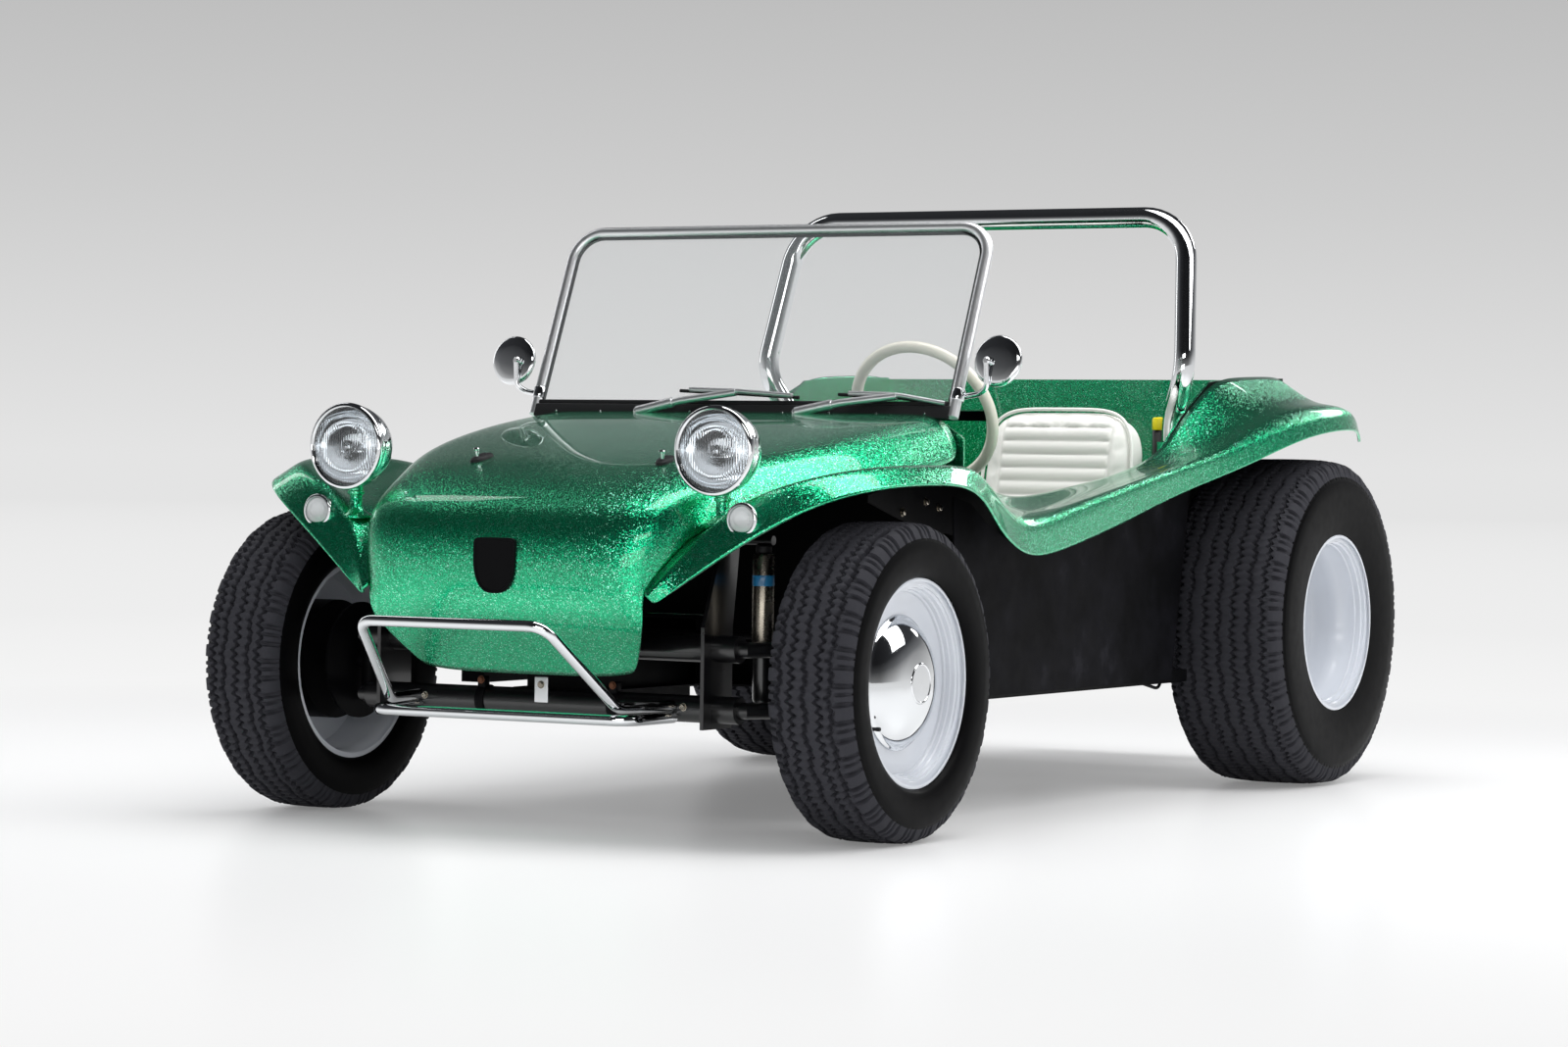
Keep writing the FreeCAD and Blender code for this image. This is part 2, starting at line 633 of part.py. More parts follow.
tunnel_inner = box("tunnel_inner", size.tunnel_width - size.tunnel_wall * 2,
                   size.pan_taper_y + tunnel_rear_y + size.overrun * 2,
                   size.tunnel_height - size.tunnel_wall,
                   size.tunnel_wall - size.tunnel_width / 2,
                   mid_y - size.pan_taper_y - size.overrun, size.pan_z)
tunnel = without("tunnel", tunnel_outer, tunnel_inner)
frame_head = box("frame_head", size.tunnel_width * 0.8, pan_neck_y - size.pan_taper_y + size.overrun,
                 size.beam_high_z - size.beam_low_z, -size.tunnel_width * 0.4, mid_y - pan_neck_y,
                 size.beam_low_z)
rails = [box("rail_" + side, size.rail_width, size.pan_front_y + size.pan_rear_y, size.rail_height,
             x, mid_y - size.pan_front_y, size.pan_z - size.rail_height)
         for side, x in (("left", pan_half_width - size.rail_width),
                         ("right", -pan_half_width))]
sub_part("floor_pan", fused("floor_pan", [pan, tunnel, frame_head] + rails))

# Side panels: flat sheets from the rail up under the skin
PANEL_OUTLINE_SHARES = [(0.3, 0.7), (0.33, 0.685), (0.36, 0.64), (0.4, 0.6), (0.45, 0.62),
                        (0.53, 0.66), (0.63, 0.7), (0.72, 0.745), (0.745, 0.76), (0.71, 0.27),
                        (0.31, 0.27)]


def body_y(share):
    return nose_y + size.body_length * share


def panel_corners():
    return [(body_y(back), size.body_height * up) for back, up in PANEL_OUTLINE_SHARES]


panel_x = pan_half_width + size.panel_thickness / 2 + size.fit_gap
for side, x in (("left", panel_x), ("right", -panel_x)):
    sub_part("side_panel_" + side,
             padded("side_panel_" + side, "YZ_Plane", panel_corners(), size.panel_thickness,
                    x, ZERO, ZERO))

# Windshield: bent tube frame, flat glass, black strip at its foot
frame_half_width = frame_side_x - size.frame_inset
frame_top_y = frame_foot_y + size.frame_lean
frame_top_z = frame_foot_z + size.frame_height
frame_shape = bent_tube(
    [(frame_half_width, frame_foot_y, frame_foot_z),
     (frame_half_width, frame_top_y, frame_top_z - size.frame_tube_radius),
     (-frame_half_width, frame_top_y, frame_top_z - size.frame_tube_radius),
     (-frame_half_width, frame_foot_y, frame_foot_z)],
    size.frame_tube_radius, size.frame_bend, WIDE_CHORD)
sub_part("windshield_frame", formed("windshield_frame", frame_shape))
rake = math.degrees(math.atan2(float(size.frame_lean), float(size.frame_height)))
raked = FreeCAD.Rotation(X_AXIS, -rake)


def frame_y(z):
    """Where the raked plane of the windshield frame stands at a height."""
    return frame_foot_y + size.frame_lean * (float(z - frame_foot_z) / float(size.frame_height))


strip_z = frame_foot_z + size.strip_rise
glass_low_z = strip_z + size.strip_height / 2
glass_half = frame_half_width - size.frame_tube_radius - size.fit_gap
glass_rise = (frame_top_z - size.frame_tube_radius * 2 - size.fit_gap - glass_low_z) * (
    1 / math.cos(math.radians(rake)))
corner = size.frame_bend - size.frame_tube_radius
glass = padded("windshield_glass", "XZ_Plane",
               [(-glass_half, ZERO), (glass_half, ZERO), (glass_half, glass_rise - corner),
                (glass_half - corner * 0.3, glass_rise - corner * 0.3),
                (glass_half - corner, glass_rise), (corner - glass_half, glass_rise),
                (corner * 0.3 - glass_half, glass_rise - corner * 0.3),
                (-glass_half, glass_rise - corner)],
               size.glass_thickness, ZERO, frame_y(glass_low_z), glass_low_z, raked)
sub_part("windshield_glass", glass)
strip_half = frame_half_width - size.frame_tube_radius - size.fit_gap
strip_y = frame_y(strip_z)
sub_part("windshield_strip", padded(
    "windshield_strip", "XZ_Plane",
    [(-strip_half, ZERO), (strip_half, ZERO), (strip_half, size.strip_height / 2 - size.fit_gap),
     (-strip_half, size.strip_height / 2 - size.fit_gap)],
    size.strip_thickness, ZERO, strip_y, strip_z, raked))

# Wipers: two arms with blades lying along the strip
wipers = []
for name, pivot_x in (("right", -wiper_pivot_x), ("left", wiper_pivot_x * 0.77)):
    pivot_y = strip_y - size.strip_thickness - size.wiper_radius * 3
    shaft = cylinder("wiper_shaft_" + name, size.wiper_radius * 1.6, size.wiper_radius * 7,
                     pivot_x, pivot_y, strip_z - size.wiper_radius * 3)
    arm = cylinder("wiper_arm_" + name, size.wiper_radius, size.wiper_length * 0.6,
                   pivot_x, pivot_y, strip_z + size.wiper_radius * 3,
                   Vector(1, 0, 0.1))
    blade = box("wiper_blade_" + name, size.wiper_length, size.wiper_radius, size.wiper_radius * 2,
                pivot_x + size.wiper_length * 0.25, pivot_y + size.wiper_radius / 2,
                strip_z + size.wiper_radius * 6)
    doc.recompute()
    foot = formed("wiper_foot_" + name, standing(shaft.Shape, hood_shape, Z_AXIS))
    wipers.append(fused("wiper_" + name, [foot, arm, blade]))
sub_part("wipers", together("wipers", wipers))

# Mirrors: round dishes on short arms from the frame's legs
mirrors = []
mirror_x = frame_half_width + size.mirror_reach
mirror_z = frame_foot_z + size.mirror_rise
mirror_y = frame_y(mirror_z - size.mirror_radius * 1.4) + size.mirror_back
for name, hand in (("left", 1), ("right", -1)):
    dish = revolved("mirror_dish_" + name,
                    [(ZERO, ZERO), (size.mirror_depth, ZERO),
                     (size.mirror_depth * 0.7, size.mirror_radius * 0.7),
                     (size.mirror_depth * 0.2, size.mirror_radius), (ZERO, size.mirror_radius)],
                    mirror_x * hand, mirror_y, mirror_z,
                    FreeCAD.Rotation(Z_AXIS, -90))
    leg_y = frame_y(mirror_z - size.mirror_radius * 1.4)
    arm = formed("mirror_arm_" + name, bent_tube(
        [((frame_half_width + size.frame_tube_radius + size.fit_gap) * hand, leg_y,
          mirror_z - size.mirror_radius * 1.4),
         (mirror_x * hand, leg_y, mirror_z - size.mirror_radius * 1.4),
         (mirror_x * hand, mirror_y - size.mirror_depth / 2, mirror_z)],
        size.mirror_arm_radius, size.mirror_arm_radius * 3))
    mirrors.append(fused("mirror_" + name, [dish, arm]))
sub_part("mirrors", together("mirrors", mirrors))

# Roll hoop: one bent tube whose legs turn in below the rim and stand on the wheelhouse ledges
hoop_foot_z = ledge_z + size.skin_wall + size.fit_gap
hoop_top_x = hoop_knee_x - size.hoop_narrowing
hoop_top_y = hoop_knee_y + size.hoop_lean
hoop_top_z = hoop_knee_z + size.hoop_height
hoop_leg = [(hoop_foot_x, hoop_foot_y, hoop_foot_z),
            (hoop_foot_x, hoop_foot_y, hoop_foot_z + size.hoop_stub),
            (hoop_knee_x, hoop_knee_y, hoop_knee_z), (hoop_top_x, hoop_top_y, hoop_top_z)]
hoop_shape = bent_tube(hoop_leg + [(-x, y, z) for x, y, z in reversed(hoop_leg)],
                       size.hoop_tube_radius, size.hoop_bend)
sub_part("roll_hoop", formed("roll_hoop", hoop_shape))

# Headlamps: chrome bowls on stalks, with a glass lens each
front_turn = FreeCAD.Rotation(Z_AXIS, -90)
bowls, lenses, signals, tail_lamps = [], [], [], []
for name, hand in (("left", 1), ("right", -1)):
    x, y = headlamp_x * hand, headlamp_y
    bowl = revolved("headlamp_bowl_" + name,
                    [(-size.headlamp_depth, ZERO), (ZERO, ZERO), (ZERO, size.headlamp_radius),
                     (-size.headlamp_depth * 0.2, size.headlamp_radius * 0.97),
                     (-size.headlamp_depth * 0.7, size.headlamp_radius * 0.7)],
                    x, y, headlamp_z, front_turn)
    stalk = cylinder("headlamp_stalk_" + name, size.lamp_stalk_radius,
                     size.headlamp_radius + size.lamp_stalk_length * 0.5,
                     x, y + size.headlamp_depth * 0.35,
                     headlamp_z - size.headlamp_radius - size.lamp_stalk_length * 0.5)
    pedestal = cone("pedestal_" + name, size.pedestal_radius, size.pedestal_radius * 0.5,
                    size.pedestal_height, x, y + size.headlamp_depth * 0.35,
                    headlamp_z - size.headlamp_radius - size.lamp_stalk_length * 0.5
                    - size.pedestal_height)
    doc.recompute()
    stand = formed("headlamp_stand_" + name, standing(stalk.Shape.fuse(pedestal.Shape), tub_shape, Z_AXIS))
    bowls.append(fused("headlamp_" + name, [bowl, stand]))
    lenses.append(revolved("headlamp_lens_" + name,
                           [(size.fit_gap, ZERO), (size.headlamp_lens_bulge, ZERO),
                            (size.headlamp_lens_bulge * 0.7, size.headlamp_radius * 0.5),
                            (size.fit_gap + size.headlamp_lens_bulge * 0.2,
                             size.headlamp_radius * 0.85),
                            (size.fit_gap, size.headlamp_radius * 0.85)],
                           x, y, headlamp_z, front_turn))
    signal = revolved("turn_signal_" + name,
                      [(-size.signal_depth, ZERO), (size.signal_depth * 0.3, ZERO),
                       (size.signal_depth * 0.1, size.signal_radius),
                       (-size.signal_depth, size.signal_radius * 0.8)],
                      signal_x * hand, signal_y, signal_z, front_turn)
    doc.recompute()
    signals.append(formed("turn_signal_seated_" + name, standing(signal.Shape, tub_shape, -Y_AXIS)))
    tail_lamps.append(revolved("tail_lamp_" + name,
                               [(ZERO, ZERO), (size.tail_lamp_depth, ZERO),
                                (size.tail_lamp_depth * 0.8, size.tail_lamp_radius * 0.8),
                                (ZERO, size.tail_lamp_radius)],
                               tail_lamp_x * hand, wall_rear_y + size.fit_gap,
                               tail_lamp_z, FreeCAD.Rotation(Z_AXIS, 90)))
sub_part("headlamps", together("headlamps", bowls))
sub_part("headlamp_lenses", together("headlamp_lenses", lenses))
sub_part("turn_signals", together("turn_signals", signals))
sub_part("tail_lamps", together("tail_lamps", tail_lamps))

# Bumpers: a bent hoop before the nose, and a loop round the engine
bumper_top_y = mid_y - size.bumper_top_y
bumper_low_y = mid_y - size.bumper_low_y
beam_y = mid_y - size.beam_y
bumper_end_y = beam_y - size.beam_tube_radius * 0.985
lower_bar = bent_tube(
    [(size.bumper_low_x, bumper_end_y, size.bumper_low_z),
     (size.bumper_low_x, bumper_low_y, size.bumper_low_z),
     (-size.bumper_low_x, bumper_low_y, size.bumper_low_z),
     (-size.bumper_low_x, bumper_end_y, size.bumper_low_z)],
    size.bumper_tube_radius, size.bumper_bend)
upper_bar = bent_tube(
    [(size.bumper_low_x - size.bumper_tube_radius * 4, bumper_low_y, size.bumper_low_z),
     (size.bumper_top_x, bumper_top_y, size.bumper_top_z),
     (-size.bumper_top_x, bumper_top_y, size.bumper_top_z),
     (size.bumper_tube_radius * 4 - size.bumper_low_x, bumper_low_y, size.bumper_low_z)],
    size.bumper_tube_radius, size.bumper_bend)
sub_part("front_bumper", formed("front_bumper", lower_bar.fuse(upper_bar)))

# Front beam: two transverse tubes between towers, with trailing arms to the knuckles
beam_parts = []
arm_start_x = size.beam_half_length + size.arm_radius
arm_way = Vector(float(size.kingpin_x - arm_start_x), float(front_axle_y - beam_y), 0).normalize()
arm_end_x = size.kingpin_x - (size.knuckle_radius + size.fit_gap) * arm_way.x
arm_end_y = front_axle_y - (size.knuckle_radius + size.fit_gap) * arm_way.y
for name, z in (("low", size.beam_low_z), ("high", size.beam_high_z)):
    beam_parts.append(cylinder("beam_tube_" + name, size.beam_tube_radius,
                               size.beam_half_length * 2, -size.beam_half_length, beam_y, z, X_AXIS))
    for side, hand in (("left", 1), ("right", -1)):
        beam_parts.append(formed("arm_" + name + "_" + side, bent_tube(
            [((size.beam_half_length - size.arm_radius) * hand, beam_y, z),
             (arm_start_x * hand, beam_y, z), (arm_end_x * hand, arm_end_y, z)],
            size.arm_radius)))
shock_pin_radius = size.shock_rod_radius * 1.2
for side, hand in (("left", 1), ("right", -1)):
    beam_parts.append(padded(
        "tower_" + side, "YZ_Plane",
        [(-size.tower_depth / 2, size.beam_low_z - size.beam_tube_radius * 1.4),
         (size.tower_depth / 2, size.beam_low_z - size.beam_tube_radius * 1.4),
         (size.tower_depth / 2, size.beam_high_z + size.beam_tube_radius * 1.6),
         (size.tower_depth * 0.75, size.tower_top_z),
         (size.tower_depth * 0.2, size.tower_top_z),
         (-size.tower_depth / 2, size.beam_high_z + size.beam_tube_radius * 1.6)],
        size.tower_thickness, size.tower_x * hand, beam_y, ZERO))
    beam_parts.append(cylinder("shock_pin_" + side, shock_pin_radius,
                               size.shock_x - size.tower_x + size.shock_radius,
                               size.tower_x if hand > 0 else -size.shock_x - size.shock_radius,
                               mid_y - size.shock_y, size.shock_high_z, X_AXIS))
    foot_length = size.kingpin_x - size.knuckle_radius * 3 - size.shock_x + size.shock_radius
    beam_parts.append(cylinder("shock_foot_" + side, shock_pin_radius, foot_length,
                               size.shock_x - size.shock_radius if hand > 0
                               else size.shock_radius - size.shock_x - foot_length,
                               mid_y - size.shock_y, size.beam_low_z, X_AXIS))
sub_part("front_beam", fused("front_beam", beam_parts))

# Shock absorbers: a body below and a rod above, front and rear on both sides
shocks = []
shock_low_z = size.beam_low_z + shock_pin_radius + size.fit_gap
for side, hand in (("left", 1), ("right", -1)):
    x = size.shock_x * hand
    body_low = cylinder("front_shock_body_" + side, size.shock_radius, size.shock_body_length,
                        x, mid_y - size.shock_y, shock_low_z)
    rod = cylinder("front_shock_rod_" + side, size.shock_rod_radius,
                   size.shock_high_z - shock_low_z - shock_pin_radius - size.fit_gap,
                   x, mid_y - size.shock_y, shock_low_z)
    sleeve = cylinder("front_shock_sleeve_" + side, size.shock_radius * 0.9,
                      size.shock_high_z - shock_low_z - size.shock_body_length
                      - size.shock_radius,
                      x, mid_y - size.shock_y, shock_low_z + size.shock_body_length)
    shocks.append(fused("front_shock_" + side, [body_low, rod, sleeve]))
sub_part("front_shocks", together("front_shocks", shocks))

steer_arm_z = size.front_tyre_radius + size.knuckle_height / 2 + size.steer_arm_thickness / 2

# Knuckles: a kingpin post with a spindle, a backing plate and a steering arm
for side, hand in (("left", 1), ("right", -1)):
    x = size.kingpin_x * hand
    post = cylinder("kingpin_" + side, size.knuckle_radius,
                    size.knuckle_height + size.steer_arm_thickness,
                    x, front_axle_y, size.front_tyre_radius - size.knuckle_height / 2)
    spindle_length = (size.front_wheel_x + size.front_rim_width / 2 - size.front_disc_inset
                      - size.drum_width - size.fit_gap - size.kingpin_x)
    spindle = cylinder("spindle_" + side, size.spindle_radius, spindle_length,
                       x if hand > 0 else x - spindle_length, front_axle_y,
                       size.front_tyre_radius, X_AXIS)
    backing_x = size.kingpin_x + size.knuckle_radius + size.backing_thickness
    backing = cylinder("backing_plate_" + side, size.backing_radius, size.backing_thickness,
                       backing_x if hand > 0 else -backing_x - size.backing_thickness,
                       front_axle_y, size.front_tyre_radius, X_AXIS)
    arm = padded("steering_arm_" + side, "XY_Plane",
                 [(size.kingpin_x * hand, ZERO),
                  ((size.kingpin_x - size.steer_arm_width / 2) * hand, ZERO),
                  ((size.steer_arm_x - size.steer_arm_width / 2) * hand,
                   size.wheelbase / 2 - size.steer_arm_y + size.steer_arm_width / 2),
                  ((size.steer_arm_x + size.steer_arm_width / 2) * hand,
                   size.wheelbase / 2 - size.steer_arm_y + size.steer_arm_width / 2)],
                 size.steer_arm_thickness, ZERO, front_axle_y, steer_arm_z)
    sub_part("knuckle_" + side, fused("knuckle_" + side, [post, spindle, backing, arm]))

# Tie rods: one long rod under the steering arms, with an eye at each end
rod_z = (steer_arm_z - size.steer_arm_thickness / 2 - size.tie_rod_radius * 2
         - size.fit_gap)
rod_y = mid_y - size.steer_arm_y
rod_length = size.steer_arm_x * 2
rod_parts = [cylinder("tie_rod_bar", size.tie_rod_radius * 0.8, rod_length, -size.steer_arm_x, rod_y,
                      rod_z + size.tie_rod_radius, X_AXIS)]
for side, x in (("left", size.steer_arm_x), ("right", -size.steer_arm_x)):
    rod_parts.append(cylinder("tie_rod_eye_" + side, size.tie_rod_eye_radius,
                              size.tie_rod_radius * 2, x, rod_y, rod_z))
sub_part("tie_rod", fused("tie_rod", rod_parts))

# Steering column: box on the beam, shaft and column tube up to the wheel
column_tilt = 28
lean = math.radians(column_tilt)
column_way = Vector(0, math.cos(lean), math.sin(lean))
wheel_turn = FreeCAD.Rotation(X_AXIS, column_tilt)
seat_width = tub_wall_x - size.seat_side_gap - size.seat_tunnel_gap - size.tunnel_width / 2
seat_x = tub_wall_x - size.seat_side_gap - seat_width / 2
steer_wheel_x = seat_x - size.steer_wheel_offset
steer_wheel_z = cowl_z + size.steer_wheel_rise
hub_y = dash_y + size.steer_wheel_reach
column_reach = size.steer_hub_height + size.fit_gap
column_start_y = hub_y - (column_reach + size.column_length) * math.cos(lean)
column_start_z = steer_wheel_z - (column_reach + size.column_length) * math.sin(lean)
column = cylinder("column_tube", size.column_radius, size.column_length,
                  steer_wheel_x, column_start_y, column_start_z, column_way)
doc.recompute()
sub_part("steering_column", formed("steering_column", standing(column.Shape, tub_shape, Y_AXIS)))


def ring_corners(ring_radius, rim_radius, along):
    """A four-sided ring section, as (along the axis, distance from it)."""
    corners = []
    for step in range(4):
        angle = math.radians(90 * step + 45)
        corners.append((along + rim_radius * math.cos(angle), ring_radius + rim_radius * math.sin(angle)))
    return corners


facing = wheel_turn.multiply(FreeCAD.Rotation(Z_AXIS, 90))
ring = revolved("wheel_ring", ring_corners(size.wheel_ring_radius, size.wheel_rim_radius, ZERO),
                steer_wheel_x, hub_y, steer_wheel_z, facing)
hub = revolved("wheel_hub",
               [(-size.steer_hub_height, ZERO), (-size.steer_hub_height * 0.1, ZERO),
                (-size.steer_hub_height * 0.3, size.steer_hub_radius),
                (-size.steer_hub_height * 0.7, size.steer_hub_radius),
                (-size.steer_hub_height, size.column_radius)],
               steer_wheel_x, hub_y, steer_wheel_z, facing)
spokes = padded("wheel_spokes", "YZ_Plane",
                [(-size.wheel_ring_radius, -size.spoke_width / 2),
                 (size.wheel_ring_radius, -size.spoke_width / 2),
                 (size.wheel_ring_radius, size.spoke_width / 2),
                 (-size.wheel_ring_radius, size.spoke_width / 2)],
                size.spoke_thickness, steer_wheel_x, hub_y, steer_wheel_z, facing)
deep_spokes = padded("wheel_spoke_root", "YZ_Plane",
                     [(-size.steer_hub_radius, -size.spoke_width / 2),
                      (size.steer_hub_radius, -size.spoke_width / 2),
                      (size.steer_hub_radius, size.spoke_width / 2),
                      (-size.steer_hub_radius, size.spoke_width / 2)],
                     size.steer_hub_height * 0.9, steer_wheel_x, hub_y, steer_wheel_z,
                     facing)
sub_part("steering_wheel", fused("steering_wheel", [ring, hub, spokes, deep_spokes]))

# Seats: a cushion and an arched back on a low foot
seat_back_y = bulkhead_foot_y - size.seat_recline_gap
seat_front_y = seat_back_y - size.seat_length
for side, hand in (("left", 1), ("right", -1)):
    x = seat_x * hand
    half = seat_width / 2
    top_half = half * 0.75
    cushion = box("cushion_" + side, seat_width, size.seat_length, size.seat_cushion_height,
                  x - half, seat_front_y, size.seat_base_z)
    back = padded("seat_back_" + side, "XZ_Plane",
                  [(-half * 0.9, ZERO), (half * 0.9, ZERO), (half, size.seat_back_height * 0.5),
                   (half * 0.92, size.seat_back_height * 0.82), (top_half, size.seat_back_height * 0.98),
                   (ZERO, size.seat_back_height), (-top_half, size.seat_back_height * 0.98),
                   (-half * 0.92, size.seat_back_height * 0.82), (-half, size.seat_back_height * 0.5)],
                  size.seat_back_thickness, x, seat_back_y, size.seat_base_z,
                  FreeCAD.Rotation(X_AXIS, -10))
    foot = box("seat_foot_" + side, seat_width * 0.7, size.seat_length * 0.8,
               size.seat_base_z + size.seat_foot_overlap - tub_floor_z,
               x - half * 0.7, seat_front_y + size.seat_length * 0.1, tub_floor_z)
    sub_part("seat_" + side, fused("seat_" + side, [cushion, back, foot]))

# Small controls on the tunnel and the floor
tunnel_top = size.pan_z + size.tunnel_height
shifter_y = seat_front_y - size.knob_radius * 1.8
shift_rod = cylinder("shift_rod", size.lever_radius, size.lever_length, ZERO, shifter_y,
                     tunnel_top + size.fit_gap)
shift_knob = revolved("shift_knob",
                      [(-size.knob_radius, ZERO), (size.knob_radius, ZERO),
                       (size.knob_radius * 0.7, size.knob_radius * 0.7),
                       (ZERO, size.knob_radius), (-size.knob_radius * 0.7, size.knob_radius * 0.7)],
                      ZERO, shifter_y, tunnel_top + size.lever_length, FreeCAD.Rotation(Y_AXIS, -90))
brake_way = Vector(0, -math.cos(math.radians(20)), math.sin(math.radians(20)))
brake_lever = cylinder("brake_lever", size.lever_radius * 1.4, size.brake_lever_length, ZERO,
                       shifter_y + size.brake_lever_length,
                       tunnel_top + size.lever_radius * 1.35, brake_way)
pedal_parts = []
for step in (-1, 0, 1):
    x = steer_wheel_x + size.pedal_width * 1.5 * step
    y = mid_y - size.pan_front_y + size.pedal_arm_length * 0.2
    arm = box("pedal_arm_%d" % (step + 2), size.pedal_thickness, size.pedal_thickness,
              size.pedal_arm_length, x - size.pedal_thickness / 2, y,
              size.pan_z + size.pan_thickness / 2 + size.fit_gap)
    pad = box("pedal_pad_%d" % (step + 2), size.pedal_width, size.pedal_thickness,
              size.pedal_height, x - size.pedal_width / 2, y + size.pedal_thickness / 2,
              size.pan_z + size.pedal_arm_length - size.pedal_height / 2)
    pedal_parts.append(fused("pedal_%d" % (step + 2), [arm, pad]))
sub_part("controls", together("controls", [fused("shifter", [shift_rod, shift_knob]), brake_lever]
                              + pedal_parts))

# Extinguisher: a small bottle on the wheelhouse wall behind the left seat
sub_part("extinguisher", cylinder(
    "extinguisher", size.extinguisher_radius, size.extinguisher_length,
    wheelhouse_x - size.skin_wall - size.extinguisher_radius - size.fit_gap,
    bulkhead_top_y + size.extinguisher_radius * 3, shelf_z + size.extinguisher_rise))

# Rear axle: torsion tube, gearbox, swing axle tubes, spring plates and shock absorbers
torsion_y = mid_y + size.torsion_tube_y
axle_z = size.rear_tyre_radius
rear_parts = [
    cylinder("torsion_tube", size.torsion_tube_radius, size.torsion_tube_half_length * 2,
             -size.torsion_tube_half_length, torsion_y, size.torsion_tube_z, X_AXIS),
    cylinder("gearbox", size.gearbox_radius, size.gearbox_length, ZERO,
             mid_y + size.engine_y - size.fit_gap - size.gearbox_length, axle_z, Y_AXIS)]
drum_inner_x = size.rear_wheel_x + size.rear_rim_width / 2 - size.rear_disc_inset - size.drum_width
for side, hand in (("left", 1), ("right", -1)):
    reach = drum_inner_x - size.fit_gap
    rear_parts.append(cylinder("axle_tube_" + side, size.axle_tube_radius, reach,
                               ZERO if hand > 0 else -reach, rear_axle_y, axle_z, X_AXIS))
    plate_x = size.torsion_tube_half_length - size.spring_plate_thickness
    rear_parts.append(padded(
        "spring_plate_" + side, "YZ_Plane",
        [(torsion_y - size.torsion_tube_radius, size.torsion_tube_z - size.spring_plate_height / 2),
         (rear_axle_y + size.axle_tube_radius * 1.5, axle_z - size.spring_plate_height / 2),
         (rear_axle_y + size.axle_tube_radius * 1.5, axle_z + size.spring_plate_height / 2),
         (torsion_y - size.torsion_tube_radius, size.torsion_tube_z + size.spring_plate_height / 2)],
        size.spring_plate_thickness, plate_x * hand, ZERO, ZERO))
    rear_parts.append(cylinder("rear_shock_" + side, size.shock_radius,
                               shelf_z - size.fit_gap - axle_z, size.rear_shock_x * hand,
                               rear_axle_y, axle_z))
    rear_parts.append(cylinder("horn_" + side, size.horn_radius,
                               size.engine_y - size.torsion_tube_y,
                               size.rear_horn_x * hand, torsion_y, size.torsion_tube_z, Y_AXIS))
sub_part("rear_axle", fused("rear_axle", rear_parts))

# Engine: crankcase block, four cylinders under two heads, pulley, oil cleaner
engine_y = mid_y + size.engine_y
crankcase = box("crankcase", size.crankcase_width, size.crankcase_length, size.crankcase_height,
                -size.crankcase_width / 2, engine_y, size.crank_z - size.crankcase_height / 2)
engine_parts = [crankcase]
engine_mid_y = engine_y + size.crankcase_length / 2
for side, hand in (("left", 1), ("right", -1)):
    start = size.crankcase_width / 2 - size.overrun
    for index, back in ((1, -0.5), (2, 0.5)):
        engine_parts.append(cylinder(
            "cylinder_%s_%d" % (side, index), size.cylinder_radius, size.cylinder_length,
            start if hand > 0 else -start - size.cylinder_length,
            engine_mid_y + size.cylinder_spacing * back, size.crank_z, X_AXIS))
    head_x = start + size.cylinder_length - size.head_thickness
    engine_parts.append(box("head_" + side, size.head_thickness,
                            size.cylinder_spacing + size.cylinder_radius * 2.2, size.head_height,
                            head_x if hand > 0 else -head_x - size.head_thickness,
                            engine_mid_y - size.cylinder_spacing / 2 - size.cylinder_radius * 1.1,
                            size.crank_z - size.head_height / 2))
engine_parts.append(cylinder("crank_pulley", size.pulley_radius, size.pulley_thickness, ZERO,
                             engine_y + size.crankcase_length - size.overrun, size.crank_z, Y_AXIS))
sub_part("engine", fused("engine", engine_parts))

# Fan shroud over the engine, with the generator and the air cleaner before it
shroud_y = wall_rear_y + size.fit_gap + size.shroud_thickness / 2
shroud = padded("shroud_plate", "XZ_Plane",
                [(-size.shroud_width / 2, ZERO), (size.shroud_width / 2, ZERO),
                 (size.shroud_width / 2, size.shroud_radius * 0.5),
                 (size.shroud_radius, size.shroud_radius * 1.2),
                 (size.shroud_radius * 0.7, size.shroud_radius * 1.7),
                 (ZERO, size.shroud_radius * 1.95),
                 (-size.shroud_radius * 0.7, size.shroud_radius * 1.7),
                 (-size.shroud_radius, size.shroud_radius * 1.2),
                 (-size.shroud_width / 2, size.shroud_radius * 0.5)],
                size.shroud_thickness, ZERO, shroud_y,
                size.crank_z + size.crankcase_height / 2 + size.fit_gap)
generator_z = size.crank_z + size.crankcase_height / 2 + size.shroud_radius
generator = cylinder("generator", size.generator_radius, size.generator_length, ZERO,
                     shroud_y, generator_z, Y_AXIS)
fan_pulley = cylinder("fan_pulley", size.pulley_radius * 0.75, size.pulley_thickness, ZERO,
                      shroud_y + size.generator_length - size.overrun, generator_z, Y_AXIS)
cleaner_stem = cylinder("carburettor", size.generator_radius * 0.7, size.shroud_radius, ZERO,
                        engine_mid_y + size.cylinder_spacing * 0.8,
                        size.crank_z + size.crankcase_height / 2 + size.fit_gap)
sub_part("fan_shroud", fused("fan_shroud", [shroud, generator, fan_pulley, cleaner_stem]))

